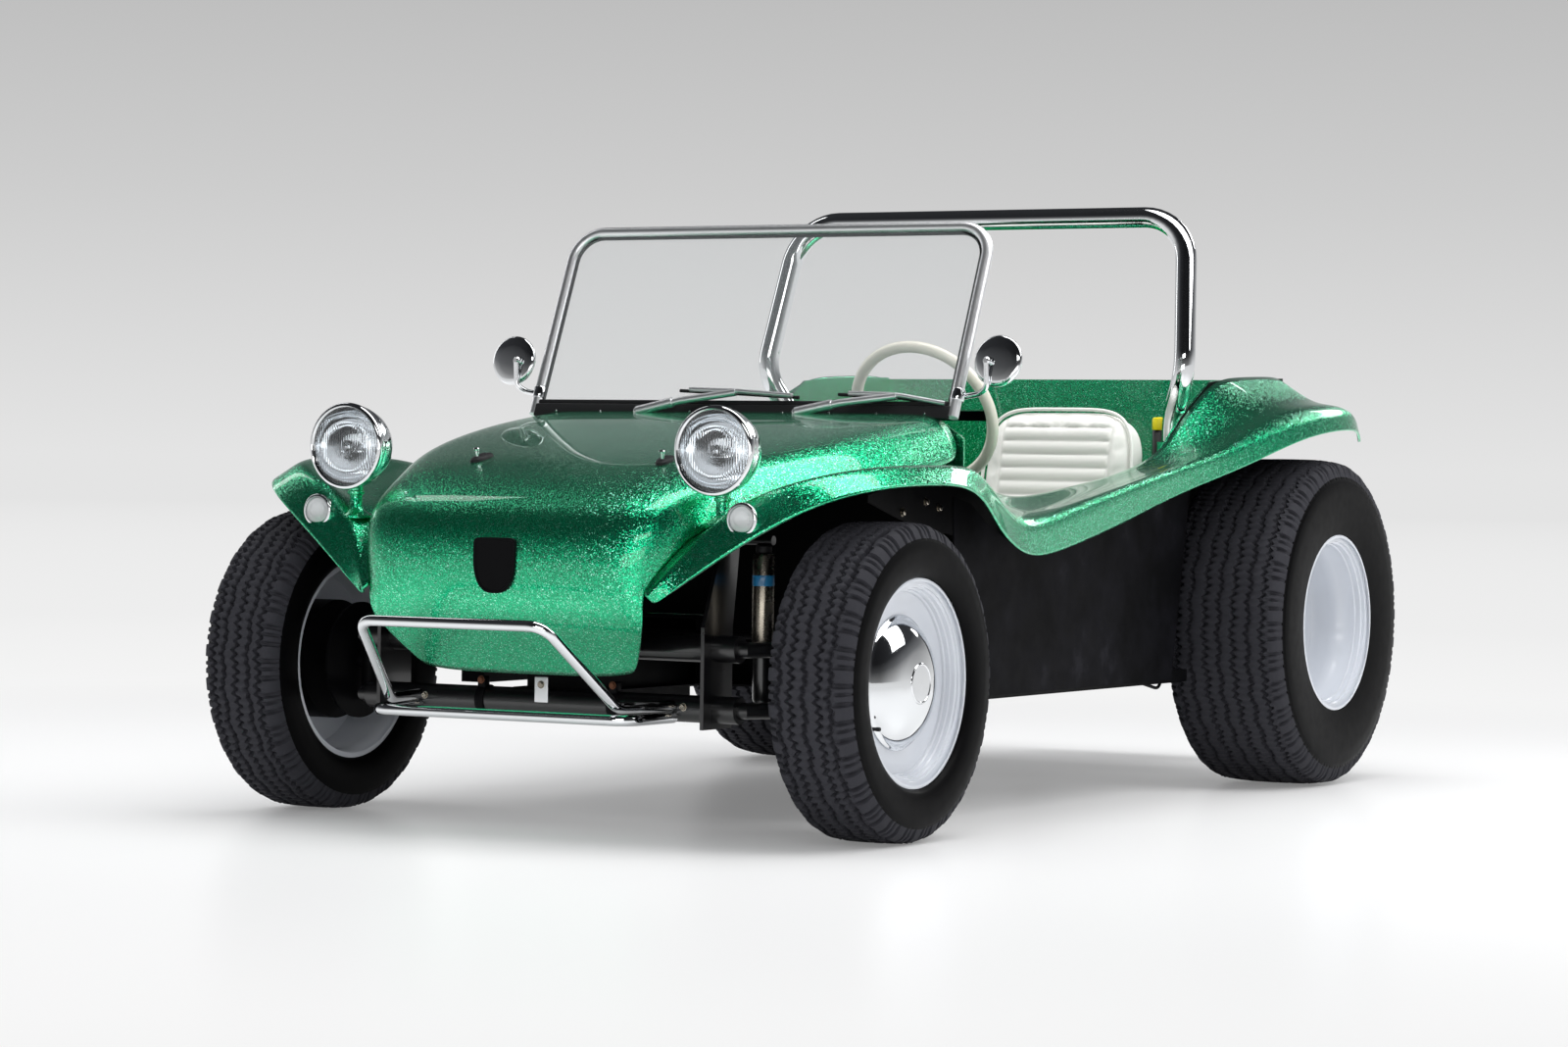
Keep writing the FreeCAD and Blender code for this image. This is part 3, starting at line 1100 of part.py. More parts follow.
# Exhaust: a transverse silencer behind the engine with two tail pipes
muffler_y = engine_y + size.crankcase_length + size.muffler_radius + size.fit_gap
muffler = cylinder("silencer", size.muffler_radius, size.muffler_length,
                   -size.muffler_length / 2, muffler_y, size.muffler_z - size.muffler_radius, X_AXIS)
exhaust_parts = [muffler]
for side, hand in (("left", 1), ("right", -1)):
    exhaust_parts.append(cylinder(
        "header_" + side, size.tail_pipe_radius,
        size.crank_z - size.head_height / 2 - size.fit_gap - size.muffler_z + size.muffler_radius,
        (size.muffler_length / 2 - size.tail_pipe_radius * 2) * hand,
        muffler_y - size.tail_pipe_radius * 2, size.muffler_z - size.muffler_radius))
exhaust_parts.append(cylinder("tail_pipe", size.tail_pipe_radius, size.tail_pipe_length,
                              size.muffler_length / 2, muffler_y, size.muffler_z - size.muffler_radius,
                              X_AXIS))
sub_part("exhaust", fused("exhaust", exhaust_parts))

# Rear bumper: a tube loop from the frame horns round the engine
rear_end_y = mid_y + size.wheelbase / 2 + size.rear_overhang - size.rear_tube_radius
loop_start_y = rear_axle_y + size.shock_radius + size.fit_gap
rear_loop = bent_tube(
    [(size.rear_bumper_x, loop_start_y, size.rear_bumper_z),
     (size.rear_bumper_x, rear_end_y, size.rear_bumper_z),
     (-size.rear_bumper_x, rear_end_y, size.rear_bumper_z),
     (-size.rear_bumper_x, loop_start_y, size.rear_bumper_z)],
    size.rear_tube_radius, size.rear_bumper_bend)
sub_part("rear_bumper", formed("rear_bumper", rear_loop))


def wheel(name, hand, x, y, radius, width, rim_width, disc_inset, cap_radius, cap_height):
    """A tyre on its rim, with the brake drum behind the disc and a cap before it."""
    turn = FreeCAD.Rotation() if hand > 0 else FreeCAD.Rotation(Z_AXIS, 180)
    half, rim_half = width / 2, rim_width / 2
    seat_radius = size.flange_radius + size.fit_gap
    sub_part("tyre_" + name, revolved(
        "tyre_" + name,
        [(half, seat_radius), (half, radius - size.tyre_shoulder),
         (half - size.tyre_shoulder, radius), (size.tyre_shoulder - half, radius),
         (-half, radius - size.tyre_shoulder), (-half, seat_radius)],
        x * hand, y, radius, turn))
    disc_x = rim_half - disc_inset
    dish = size.flange_radius - size.rim_lip
    sub_part("rim_" + name, revolved(
        "rim_" + name,
        [(-rim_half, size.flange_radius), (rim_half, size.flange_radius), (rim_half, dish),
         (disc_x + size.rim_wall, dish), (disc_x + size.rim_wall, ZERO),
         (disc_x, ZERO), (disc_x, dish), (-rim_half, dish)],
        x * hand, y, radius, turn))
    sub_part("drum_" + name, revolved(
        "drum_" + name,
        [(disc_x - size.fit_gap, ZERO), (disc_x - size.fit_gap, size.drum_radius),
         (disc_x - size.drum_width, size.drum_radius), (disc_x - size.drum_width, ZERO)],
        x * hand, y, radius, turn))
    cap_x = disc_x + size.rim_wall + size.fit_gap
    sub_part("hubcap_" + name, revolved(
        "hubcap_" + name,
        [(cap_x, ZERO), (cap_x + cap_height, ZERO), (cap_x + cap_height, cap_radius * 0.6),
         (cap_x + cap_height * 0.6, cap_radius), (cap_x, cap_radius)],
        x * hand, y, radius, turn))


for side, hand in (("left", 1), ("right", -1)):
    wheel("front_" + side, hand, size.front_wheel_x, front_axle_y, size.front_tyre_radius,
          size.front_tyre_width, size.front_rim_width, size.front_disc_inset,
          size.front_cap_radius, size.front_cap_height)
    wheel("rear_" + side, hand, size.rear_wheel_x, rear_axle_y, size.rear_tyre_radius,
          size.rear_tyre_width, size.rear_rim_width, size.rear_disc_inset,
          size.rear_cap_radius, size.rear_cap_height)

doc.recompute()
for item in doc.Objects:
    if "Invalid" in item.State or "Error" in item.State:
        raise ValueError("failed to build: " + item.Name)
for item in SUB_PARTS:
    if item.Shape.isNull() or not item.Shape.isValid():
        raise ValueError("no valid shape: " + item.Label)
os.makedirs("parts", exist_ok=True)
for item in SUB_PARTS:
    item.Shape.exportStep("parts/" + item.Label + ".step")
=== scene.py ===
import bmesh
import bpy
import math
from mathutils import Matrix, Vector


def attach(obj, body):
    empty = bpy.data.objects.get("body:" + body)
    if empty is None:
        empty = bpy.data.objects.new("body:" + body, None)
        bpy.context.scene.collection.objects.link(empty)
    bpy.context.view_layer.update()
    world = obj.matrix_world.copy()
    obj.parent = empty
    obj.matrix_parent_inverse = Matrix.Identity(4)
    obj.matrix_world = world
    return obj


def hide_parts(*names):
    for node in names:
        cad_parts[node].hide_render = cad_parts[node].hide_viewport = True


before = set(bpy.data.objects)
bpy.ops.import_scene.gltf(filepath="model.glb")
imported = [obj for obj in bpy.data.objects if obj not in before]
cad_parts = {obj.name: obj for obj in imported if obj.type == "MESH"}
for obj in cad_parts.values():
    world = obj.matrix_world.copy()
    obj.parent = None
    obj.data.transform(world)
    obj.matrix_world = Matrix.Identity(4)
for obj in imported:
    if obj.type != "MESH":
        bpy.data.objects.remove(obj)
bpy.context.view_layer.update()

# Studio: a pale seamless floor under pale air, soft lamps overhead, high and low in front, at the right side
# and behind, and the camera low at the car's front left corner with a long lens.
scene = bpy.context.scene
scene.view_settings.view_transform = "Standard"


def linear(code):
    """The colour of an sRGB hex value, as the shaders need it."""
    parts = [int(code[place:place + 2], 16) / 255 for place in (1, 3, 5)]
    return [part / 12.92 if part <= 0.04045 else ((part + 0.055) / 1.055) ** 2.4 for part in parts] + [1]


def feed(item, inputs):
    """Give a node its inputs, each the output of another node or a constant."""
    for key, value in inputs.items():
        if isinstance(value, bpy.types.NodeSocket):
            item.id_data.links.new(value, item.inputs[key])
        else:
            item.inputs[key].default_value = value


def node(tree, kind, inputs=None, **settings):
    """Add a node with its settings and inputs."""
    item = tree.nodes.new(kind)
    for key, value in settings.items():
        setattr(item, key, value)
    feed(item, inputs or {})
    return item


def own_place(tree):
    """Where a point lies on its own object."""
    return node(tree, "ShaderNodeTexCoord").outputs["Object"]


def finish_of(name, colour="#ffffff", gloss=None, **sockets):
    """A material of one Principled shader. gloss is its lowest and highest roughness, and the scale of
    the unevenness between them; the other sockets hold constants."""
    material = bpy.data.materials.new(name)
    material.use_nodes = True
    tree = material.node_tree
    shader = tree.nodes["Principled BSDF"]
    feed(shader, {"Base Color": linear(colour)})
    feed(shader, {socket.replace("_", " "): value for socket, value in sockets.items()})
    if gloss:
        low, high, scale = gloss
        noise = node(tree, "ShaderNodeTexNoise", {"Vector": own_place(tree), "Scale": scale, "Detail": 4.0})
        span = node(tree, "ShaderNodeMapRange", {
            "Value": noise.outputs["Fac"], "To Min": low, "To Max": high})
        feed(shader, {"Roughness": span.outputs[0]})
    return material


def ramp_of(tree, factor, stops):
    """A colour ramp from (position, hex colour) stops."""
    item = node(tree, "ShaderNodeValToRGB", {"Fac": factor})
    band = item.color_ramp.elements
    while len(band) < len(stops):
        band.new(0.5)
    for element, (position, code) in zip(band, stops):
        element.position, element.color = position, linear(code)
    return item.outputs["Color"]


def seen_directly(tree):
    """1 for camera, glossy and transmission rays, 0 for the light that falls on the object."""
    ray = node(tree, "ShaderNodeLightPath").outputs
    first = node(tree, "ShaderNodeMath", {0: ray["Is Camera Ray"], 1: ray["Is Glossy Ray"]},
                 operation="MAXIMUM")
    return node(tree, "ShaderNodeMath", {0: first.outputs[0], 1: ray["Is Transmission Ray"]},
                operation="MAXIMUM").outputs[0]


# White paper that shades under the car and glows further out, a little dimmer with distance; near the car a
# fifth of what is seen is painted glow that lightens the car's shadow
NEAR_PAPER_M, FAR_PAPER_M = (1.9, 5.0), (4.0, 60.0)
seamless = finish_of("seamless_paper", "#fbfbfb", Roughness=0.28)
tree = seamless.node_tree
reach = node(tree, "ShaderNodeVectorMath", {0: own_place(tree)}, operation="LENGTH").outputs["Value"]
# To Min 0.2 keeps a fifth of the glow even under the car: painted light that lightens the car's shadow
near = node(tree, "ShaderNodeMapRange", {
    "Value": reach, "From Min": NEAR_PAPER_M[0], "From Max": NEAR_PAPER_M[1], "To Min": 0.2},
    interpolation_type="SMOOTHSTEP")
far = node(tree, "ShaderNodeMapRange", {
    "Value": reach, "From Min": FAR_PAPER_M[0], "From Max": FAR_PAPER_M[1]})
sweep = node(tree, "ShaderNodeEmission", {"Color": ramp_of(
    tree, far.outputs[0], [(0, "#f5f5f5"), (0.12, "#eeeeee"), (1, "#e4e4e4")])})
share = node(tree, "ShaderNodeMath", {0: near.outputs[0], 1: seen_directly(tree)}, operation="MULTIPLY")
blended = node(tree, "ShaderNodeMixShader", {
    "Fac": share.outputs[0], 1: tree.nodes["Principled BSDF"].outputs[0], 2: sweep.outputs[0]})
feed(tree.nodes["Material Output"], {"Surface": blended.outputs[0]})

floor_mesh = bmesh.new()
bmesh.ops.create_grid(floor_mesh, x_segments=1, y_segments=1, size=120)
floor_data = bpy.data.meshes.new("floor")
floor_mesh.to_mesh(floor_data)
floor = bpy.data.objects.new("floor", floor_data)
scene.collection.objects.link(floor)
floor_data.materials.append(seamless)

# Air: pale at the horizon and dark overhead, and dimmer in reflections of what stands behind the camera
BEHIND_CAMERA = (0.48, -0.87, 0.1)
world = bpy.data.worlds.new("studio_air")
scene.world = world
world.use_nodes = True
tree = world.node_tree
background = tree.nodes["Background"]
feed(background, {"Color": linear("#d6d7d9"), "Strength": 0.8})
heading = node(tree, "ShaderNodeTexCoord").outputs["Generated"]
height = node(tree, "ShaderNodeSeparateXYZ", {"Vector": heading}).outputs["Z"]
behind = node(tree, "ShaderNodeVectorMath", {0: heading, 1: BEHIND_CAMERA}, operation="DOT_PRODUCT")
dimming = node(tree, "ShaderNodeMapRange", {
    "Value": behind.outputs["Value"], "From Min": 0.0, "From Max": 0.8, "To Max": 0.72})
mirror_ray = node(tree, "ShaderNodeLightPath").outputs["Is Glossy Ray"]
dim_share = node(tree, "ShaderNodeMath", {0: dimming.outputs[0], 1: mirror_ray}, operation="MULTIPLY")
strength = node(tree, "ShaderNodeMath", {0: 1.0, 1: dim_share.outputs[0]}, operation="SUBTRACT")
seen = node(tree, "ShaderNodeBackground", {"Strength": strength.outputs[0], "Color": ramp_of(tree, height, [
    (0, "#e4e4e4"), (0.017, "#dedede"), (0.062, "#cdcdcd"), (0.105, "#bfbfbf"), (0.25, "#77787a"),
    (0.42, "#3a3b3e"), (1, "#2a2b2d")])})
choice = node(tree, "ShaderNodeMixShader", {
    "Fac": seen_directly(tree), 1: background.outputs[0], 2: seen.outputs[0]})
feed(tree.nodes["World Output"], {"Surface": choice.outputs[0]})

# Lamp, its place, the point it faces, width, height, watts, and whether bright surfaces mirror it
SOFTBOXES = [("overhead", (1.9, 0.4, 4.2), (0.2, 0, 0.3), 2.6, 6.5, 215, True),
             ("ceiling", (-1.6, -0.6, 4.8), (0, 0, 0), 4.0, 6.0, 105, False),
             ("front_strip", (2.6, -5.8, 3.4), (0, -0.4, 0.5), 3.4, 0.9, 42, True),
             ("right_strip", (-4.4, 0.6, 3.2), (0, 0, 0.6), 0.9, 4.5, 34, True),
             ("back_strip", (1.2, 6.5, 3.6), (0.6, 0.3, 0.7), 3.2, 1.2, 75, True),
             ("low_front", (1.8, -5.4, 1.0), (0.1, -1.2, 0.4), 4.0, 0.9, 32, True)]
for label, place, aim, wide, tall, watts, mirrored in SOFTBOXES:
    lamp = bpy.data.lights.new(label, "AREA")
    lamp.shape = "RECTANGLE"
    lamp.size, lamp.size_y, lamp.energy = wide, tall, watts
    holder = bpy.data.objects.new(label, lamp)
    holder.location = place
    holder.rotation_euler = (Vector(aim) - Vector(place)).to_track_quat("-Z", "Y").to_euler()
    holder.visible_glossy = mirrored
    scene.collection.objects.link(holder)

LENS_MM, SENSOR_MM = 98.2, 36.0
CAMERA_PLACE, YAW, DIP, ROLL = (4.668, -8.460, 0.745), 29.73, 0.82, 0.82
lens = bpy.data.cameras.new("long_lens")
lens.lens, lens.sensor_width = LENS_MM, SENSOR_MM
camera = bpy.data.objects.new("long_lens", lens)
camera.matrix_world = (Matrix.Translation(CAMERA_PLACE) @ Matrix.Rotation(math.radians(YAW), 4, "Z")
                       @ Matrix.Rotation(math.radians(90 - DIP), 4, "X")
                       @ Matrix.Rotation(math.radians(ROLL), 4, "Z"))
scene.collection.objects.link(camera)
scene.camera = camera

# Tub and hood: metalflake gel coat over glass fibre, sprayed in the mould, so the flakes lie at all
# angles under a thick glossy clear coat.
FLAKE_MM = 1.5
flake_green = finish_of("metalflake_gel_coat", Metallic=0.95, Roughness=0.23, Coat_Weight=0.7,
                        Coat_Roughness=0.03)
tree = flake_green.node_tree
flakes = node(tree, "ShaderNodeTexVoronoi", {
    "Vector": own_place(tree), "Scale": 1000 / FLAKE_MM}).outputs["Color"]
split = node(tree, "ShaderNodeSeparateColor", {"Color": flakes})
# Each flake leans its own way
tilt = node(tree, "ShaderNodeVectorMath", {0: flakes, 1: (0.5, 0.5, 0.5)}, operation="SUBTRACT")
tilt_small = node(tree, "ShaderNodeVectorMath", {0: tilt.outputs[0], "Scale": 0.4}, operation="SCALE")
leaning = node(tree, "ShaderNodeVectorMath", {
    0: node(tree, "ShaderNodeNewGeometry").outputs["Normal"], 1: tilt_small.outputs[0]}, operation="ADD")
facing = node(tree, "ShaderNodeVectorMath", {0: leaning.outputs[0]}, operation="NORMALIZE")
feed(tree.nodes["Principled BSDF"], {"Normal": facing.outputs[0], "Base Color": ramp_of(
    tree, split.outputs["Red"], [(0, "#078a5c"), (0.9, "#1fd697"), (0.985, "#b8ffe6")])})
# Brushed-on black chassis enamel, also under the mouldings
satin_black = finish_of("chassis_black_enamel", "#08080a", (0.38, 0.62, 25), Specular_IOR_Level=0.08)
BODY_HALF_WIDTH, BODY_LENGTH, BODY_HEIGHT, NOSE_Y = 0.8, 2.664, 0.97, -1.434
SKIN_MM = 6
# Stations from the nose back: inner edge, crown and lower lip, as shares of half width, length, height
FENDER_STATIONS = [
    ((0.403, 0.013, 0.505), (0.422, 0.01, 0.494), (0.432, 0.016, 0.479)),
    ((0.44, 0.025, 0.557), (0.458, 0.021, 0.544), (0.484, 0.019, 0.513)),
    ((0.472, 0.041, 0.608), (0.504, 0.033, 0.604), (0.541, 0.024, 0.548)),
    ((0.502, 0.063, 0.641), (0.56, 0.043, 0.665), (0.631, 0.032, 0.6)),
    ((0.537, 0.088, 0.66), (0.625, 0.052, 0.705), (0.729, 0.043, 0.651)),
    ((0.581, 0.114, 0.675), (0.738, 0.065, 0.744), (0.84, 0.061, 0.7)),
    ((0.625, 0.144, 0.693), (0.845, 0.107, 0.77), (0.927, 0.103, 0.726)),
    ((0.662, 0.182, 0.713), (0.894, 0.163, 0.775), (0.948, 0.159, 0.73)),
    ((0.685, 0.227, 0.738), (0.902, 0.219, 0.774), (0.946, 0.215, 0.726)),
    ((0.695, 0.272, 0.761), (0.895, 0.257, 0.769), (0.927, 0.257, 0.689)),
    ((0.695, 0.309, 0.768), (0.881, 0.298, 0.722), (0.897, 0.298, 0.625)),
    ((0.694, 0.351, 0.758), (0.875, 0.34, 0.644), (0.875, 0.354, 0.571)),
    ((0.691, 0.396, 0.711), (0.871, 0.384, 0.649), (0.871, 0.399, 0.577)),
    ((0.69, 0.444, 0.693), (0.869, 0.444, 0.681), (0.869, 0.448, 0.598)),
    ((0.69, 0.535, 0.72), (0.869, 0.535, 0.728), (0.869, 0.538, 0.645)),
    ((0.689, 0.632, 0.749), (0.875, 0.63, 0.771), (0.875, 0.632, 0.706)),
    ((0.692, 0.715, 0.796), (0.894, 0.707, 0.809), (0.902, 0.711, 0.751)),
    ((0.695, 0.764, 0.893), (0.931, 0.76, 0.851), (0.946, 0.764, 0.794)),
    ((0.693, 0.824, 0.981), (0.965, 0.82, 0.892), (0.984, 0.82, 0.84)),
    ((0.689, 0.876, 0.992), (0.981, 0.876, 0.913), (1, 0.876, 0.862)),
    ((0.688, 0.932, 0.997), (0.981, 0.929, 0.921), (1, 0.929, 0.869)),
    ((0.686, 0.988, 1), (0.956, 0.962, 0.912), (0.975, 0.961, 0.861)),
    ((0.686, 1, 0.959), (0.935, 0.984, 0.881), (0.95, 0.982, 0.83))]
# Hood stations from the chin to the cowl: its middle line and its left edge
HOOD_STATIONS = [
    ((0, 0.05, 0.325), (0.32, 0.047, 0.34)), ((0, 0.028, 0.397), (0.375, 0.025, 0.407)),
    ((0, 0.008, 0.454), (0.407, 0.012, 0.454)), ((0, 0.001, 0.515), (0.4, 0.013, 0.505)),
    ((0, 0, 0.598), (0.44, 0.025, 0.557)), ((0, 0.011, 0.67), (0.472, 0.041, 0.608)),
    ((0, 0.043, 0.716), (0.502, 0.063, 0.641)), ((0, 0.088, 0.758), (0.537, 0.088, 0.66)),
    ((0, 0.144, 0.792), (0.625, 0.144, 0.693)), ((0, 0.2, 0.822), (0.675, 0.2, 0.725)),
    ((0, 0.276, 0.856), (0.695, 0.272, 0.761)), ((0, 0.349, 0.878), (0.694, 0.351, 0.768))]
HOOD_ACROSS = [0, 0.3, 0.6, 0.8, 0.93, 1]
NOSE_RISES = [1, 0.99, 0.93, 0.75, 0.4, 0]
COWL_RISES = [1, 1, 0.995, 0.985, 0.93, 0]


def body_point(shares):
    """A point on the body, from its shares of half width, length and height."""
    across, back, up = shares
    return Vector((BODY_HALF_WIDTH * across, NOSE_Y + BODY_LENGTH * back, BODY_HEIGHT * up))


def fender_line(station):
    """Six points over the fender: inner edge, slope, two at the crown, side, lip."""
    rim, crown, lip = (body_point(shares) for shares in station)
    sag = Vector((0, 0, (rim - crown).length * 0.1))
    return [rim, rim.lerp(crown, 0.5) - sag, crown.lerp(rim, 0.14), crown.lerp(lip, 0.14),
            crown.lerp(lip, 0.5), lip]


def hood_line(step, station):
    """Eleven points over the hood, right edge to left edge."""
    middle, edge = (body_point(shares) for shares in station)
    share = step / (len(HOOD_STATIONS) - 1)
    half = []
    for across, nose_rise, cowl_rise in zip(HOOD_ACROSS, NOSE_RISES, COWL_RISES):
        rise = nose_rise + (cowl_rise - nose_rise) * share
        half.append(Vector((edge.x * across, edge.y + (middle.y - edge.y) * rise,
                            edge.z + (middle.z - edge.z) * rise)))
    return [Vector((-point.x, point.y, point.z)) for point in half[:0:-1]] + half


def moulding(mesh, lines):
    """Lay a grid of faces over lines of points."""
    columns = len(lines[0])
    grid = bmesh.ops.create_grid(mesh, x_segments=columns - 1, y_segments=len(lines) - 1, size=1)["verts"]
    grid.sort(key=lambda corner: (round(corner.co.y, 6), round(corner.co.x, 6)))
    for place, corner in enumerate(grid):
        corner.co = lines[place // columns][place % columns]


def weld(mesh, distance):
    """Close the seams of a mesh and turn its faces outward."""
    bmesh.ops.remove_doubles(mesh, verts=mesh.verts[:], dist=distance)
    bmesh.ops.recalc_face_normals(mesh, faces=mesh.faces[:])


def piece_of(name, mesh, material, stands_for=None, body="body", crease=None):
    """Turn a bmesh into a finished piece that rides on a body and stands for a CAD node. Its edges
    stay sharp above the crease angle, and a crease of 0 leaves its faces flat."""
    for face in mesh.faces:
        face.smooth = crease != 0
    data = bpy.data.meshes.new(name)
    mesh.to_mesh(data)
    mesh.free()
    if crease:
        data.set_sharp_from_angle(angle=math.radians(crease))
    data.materials.append(material)
    item = bpy.data.objects.new(name, data)
    scene.collection.objects.link(item)
    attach(item, body)
    if stands_for:
        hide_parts(stands_for)
    return item


def modifier(item, kind, **settings):
    """Add a modifier with its settings."""
    step = item.modifiers.new(kind.lower(), kind)
    for key, value in settings.items():
        setattr(step, key, value)
    return step


def skin_of(name, lines, stands_for=None, mirrored=False):
    """A gel-coated moulding over a net of points, black underneath."""
    mesh = bmesh.new()
    moulding(mesh, lines)
    if mirrored:
        bmesh.ops.mirror(mesh, geom=mesh.verts[:] + mesh.edges[:] + mesh.faces[:], merge_dist=0, axis="X")
    bmesh.ops.recalc_face_normals(mesh, faces=mesh.faces[:])
    if sum(face.normal.z for face in mesh.faces) < 0:
        bmesh.ops.reverse_faces(mesh, faces=mesh.faces[:])
    item = piece_of(name, mesh, flake_green, stands_for)
    item.data.materials.append(satin_black)
    modifier(item, "SUBSURF", levels=3, render_levels=3)
    modifier(item, "SOLIDIFY", thickness=SKIN_MM / 1000, offset=-1, material_offset=1)


skin_of("fenders", [fender_line(station) for station in FENDER_STATIONS], mirrored=True)
skin_of("hood_cover", [hood_line(step, station) for step, station in enumerate(HOOD_STATIONS)], "hood")

# Cockpit walls: the same gel coat inside, flat mouldings joined to the fenders at the rim, with a
# step over each rear wheel and a shelf behind the seats.
SIDES = [("left", 1), ("right", -1)]
WALL_X, LEDGE_X, TUNNEL_X = 0.545, 0.487, 0.096
FIREWALL_Y, DASH_Y, FOOT_Y, TOP_Y, REAR_Y = -0.693, -0.483, 0.540, 0.610, 1.195
FLOOR_Z, TUNNEL_Z, SHELF_Z, LEDGE_Z = 0.282, 0.421, 0.623, 0.803
panels = bmesh.new()


def to_the_right(points):
    """A path over to the car's right side, from its left half."""
    return points + [(-x, y, z) for x, y, z in reversed(points)]


def panel(*corners):
    """Add one flat face to the cockpit."""
    panels.faces.new([panels.verts.new(corner) for corner in corners])


rim = [body_point(station[0]) for station in FENDER_STATIONS[10:-1]]
for _, hand in SIDES:
    x, inner = WALL_X * hand, LEDGE_X * hand
    top = [(x, max(point.y, FIREWALL_Y), point.z - 0.004) for point in rim]
    front = [corner for corner in top if corner[1] < TOP_Y]
    rear = [corner for corner in top if corner[1] >= TOP_Y]
    share = (TOP_Y - front[-1][1]) / (rear[0][1] - front[-1][1])
    join = (x, TOP_Y, front[-1][2] + (rear[0][2] - front[-1][2]) * share)
    panel(*front, join, (x, TOP_Y, SHELF_Z), (x, FOOT_Y, FLOOR_Z), (x, FIREWALL_Y, FLOOR_Z))
    panel(join, *rear, (x, REAR_Y, rear[-1][2]), (x, REAR_Y, LEDGE_Z), (x, TOP_Y, LEDGE_Z))
    panel((x, TOP_Y, LEDGE_Z), (x, REAR_Y, LEDGE_Z), (inner, REAR_Y, LEDGE_Z), (inner, TOP_Y, LEDGE_Z))
    panel((inner, TOP_Y, LEDGE_Z), (inner, REAR_Y, LEDGE_Z), (inner, REAR_Y, SHELF_Z),
          (inner, TOP_Y, SHELF_Z))
    panel((x, TOP_Y, LEDGE_Z), (inner, TOP_Y, LEDGE_Z), (inner, TOP_Y, SHELF_Z), (x, TOP_Y, SHELF_Z))
# Left halves of the bulkhead, shelf, rear wall, dash and firewall
for half in ([(WALL_X, TOP_Y, SHELF_Z), (WALL_X, FOOT_Y, FLOOR_Z), (TUNNEL_X, FOOT_Y, FLOOR_Z),
              (TUNNEL_X, FOOT_Y + 0.029, TUNNEL_Z)],
             [(LEDGE_X, TOP_Y, SHELF_Z), (LEDGE_X, REAR_Y, SHELF_Z)],
             [(LEDGE_X, REAR_Y, SHELF_Z), (LEDGE_X, REAR_Y, LEDGE_Z), (WALL_X, REAR_Y, LEDGE_Z),
              (WALL_X, REAR_Y, 0.962)],
             [(WALL_X, DASH_Y, 0.64), (WALL_X, DASH_Y, 0.80), (0.49, DASH_Y, 0.836)],
             [(TUNNEL_X, FIREWALL_Y, TUNNEL_Z), (TUNNEL_X, FIREWALL_Y, FLOOR_Z),
              (WALL_X, FIREWALL_Y, FLOOR_Z), (WALL_X, FIREWALL_Y, 0.735)]):
    across = to_the_right(half)
    panel(across[-1], *across[:-1])
bmesh.ops.remove_doubles(panels, verts=panels.verts[:], dist=0.002)
COCKPIT_MIDDLE = Vector((0, 0.3, 0.95))
bmesh.ops.reverse_faces(panels, faces=[
    face for face in panels.faces if face.normal.dot(COCKPIT_MIDDLE - face.calc_center_median()) < 0])
walls = piece_of("cockpit_walls", panels, flake_green, "tub", crease=0)
for skin in (satin_black, flake_green, flake_green):
    walls.data.materials.append(skin)
# The rear wall and the dash are green on both sides
for face in walls.data.polygons:
    if face.center.y > REAR_Y - 0.01 or abs(face.center.y - DASH_Y) < 0.01:
        face.material_index = 2
modifier(walls, "SOLIDIFY", thickness=SKIN_MM / 1000, offset=0, material_offset=1)
modifier(walls, "BEVEL", width=0.004, segments=2)

# Tyres: cross-ply rubber on all four wheels. Zigzag ribs run round the tread, lugs are cut into both
# shoulders, and the walls are plain, with one thin raised ring.
def angles(steps):
    """Even steps round a circle."""
    return [math.tau * step / steps for step in range(steps)]


def turned(name, rings, material, stands_for, body="body"):
    """A closed surface from rings of points round an axle."""
    mesh = bmesh.new()
    moulding(mesh, rings + rings[:1])
    weld(mesh, 0.00005)
    return piece_of(name, mesh, material, stands_for, body, crease=45)


LUG_CUTS = [0, 0, 0, 0, 0, 0, 0, 0, 0, 1, 1, 1, 0.1, 0.1, 0.1, 0.8, 0.8, 0.1, 0.1, 0.1, 0.1, 1, 1, 1]
SWAY_MM, POCKET_MM = 3.5, 3.2


def wheel_rings(profile, hub, hand, steps, waves=0):
    """Rings of a profile of (along, radius, zigzag, notch) in mm; the last two vary with the angle,
    and are 0 where they are left out."""
    rings = []
    for step, angle in enumerate(angles(steps)):
        zigzag = 1 - 4 * abs(waves * step / steps % 1 - 0.5)
        cut = LUG_CUTS[step % len(LUG_CUTS)] if waves else 0
        sway = SWAY_MM * math.sin(math.tau * step / len(LUG_CUTS))
        ring = []
        for along, radius, swing, notch in ((point + (0, 0))[:4] for point in profile):
            if swing:
                along += swing * zigzag + sway
            reach = (radius - notch * cut - (POCKET_MM if swing and zigzag < -0.3 else 0)) / 1000
            ring.append(Vector((hand * (hub[0] + along / 1000), hub[1] + reach * math.cos(angle),
                                hub[2] + reach * math.sin(angle))))
        rings.append(ring)
    return rings


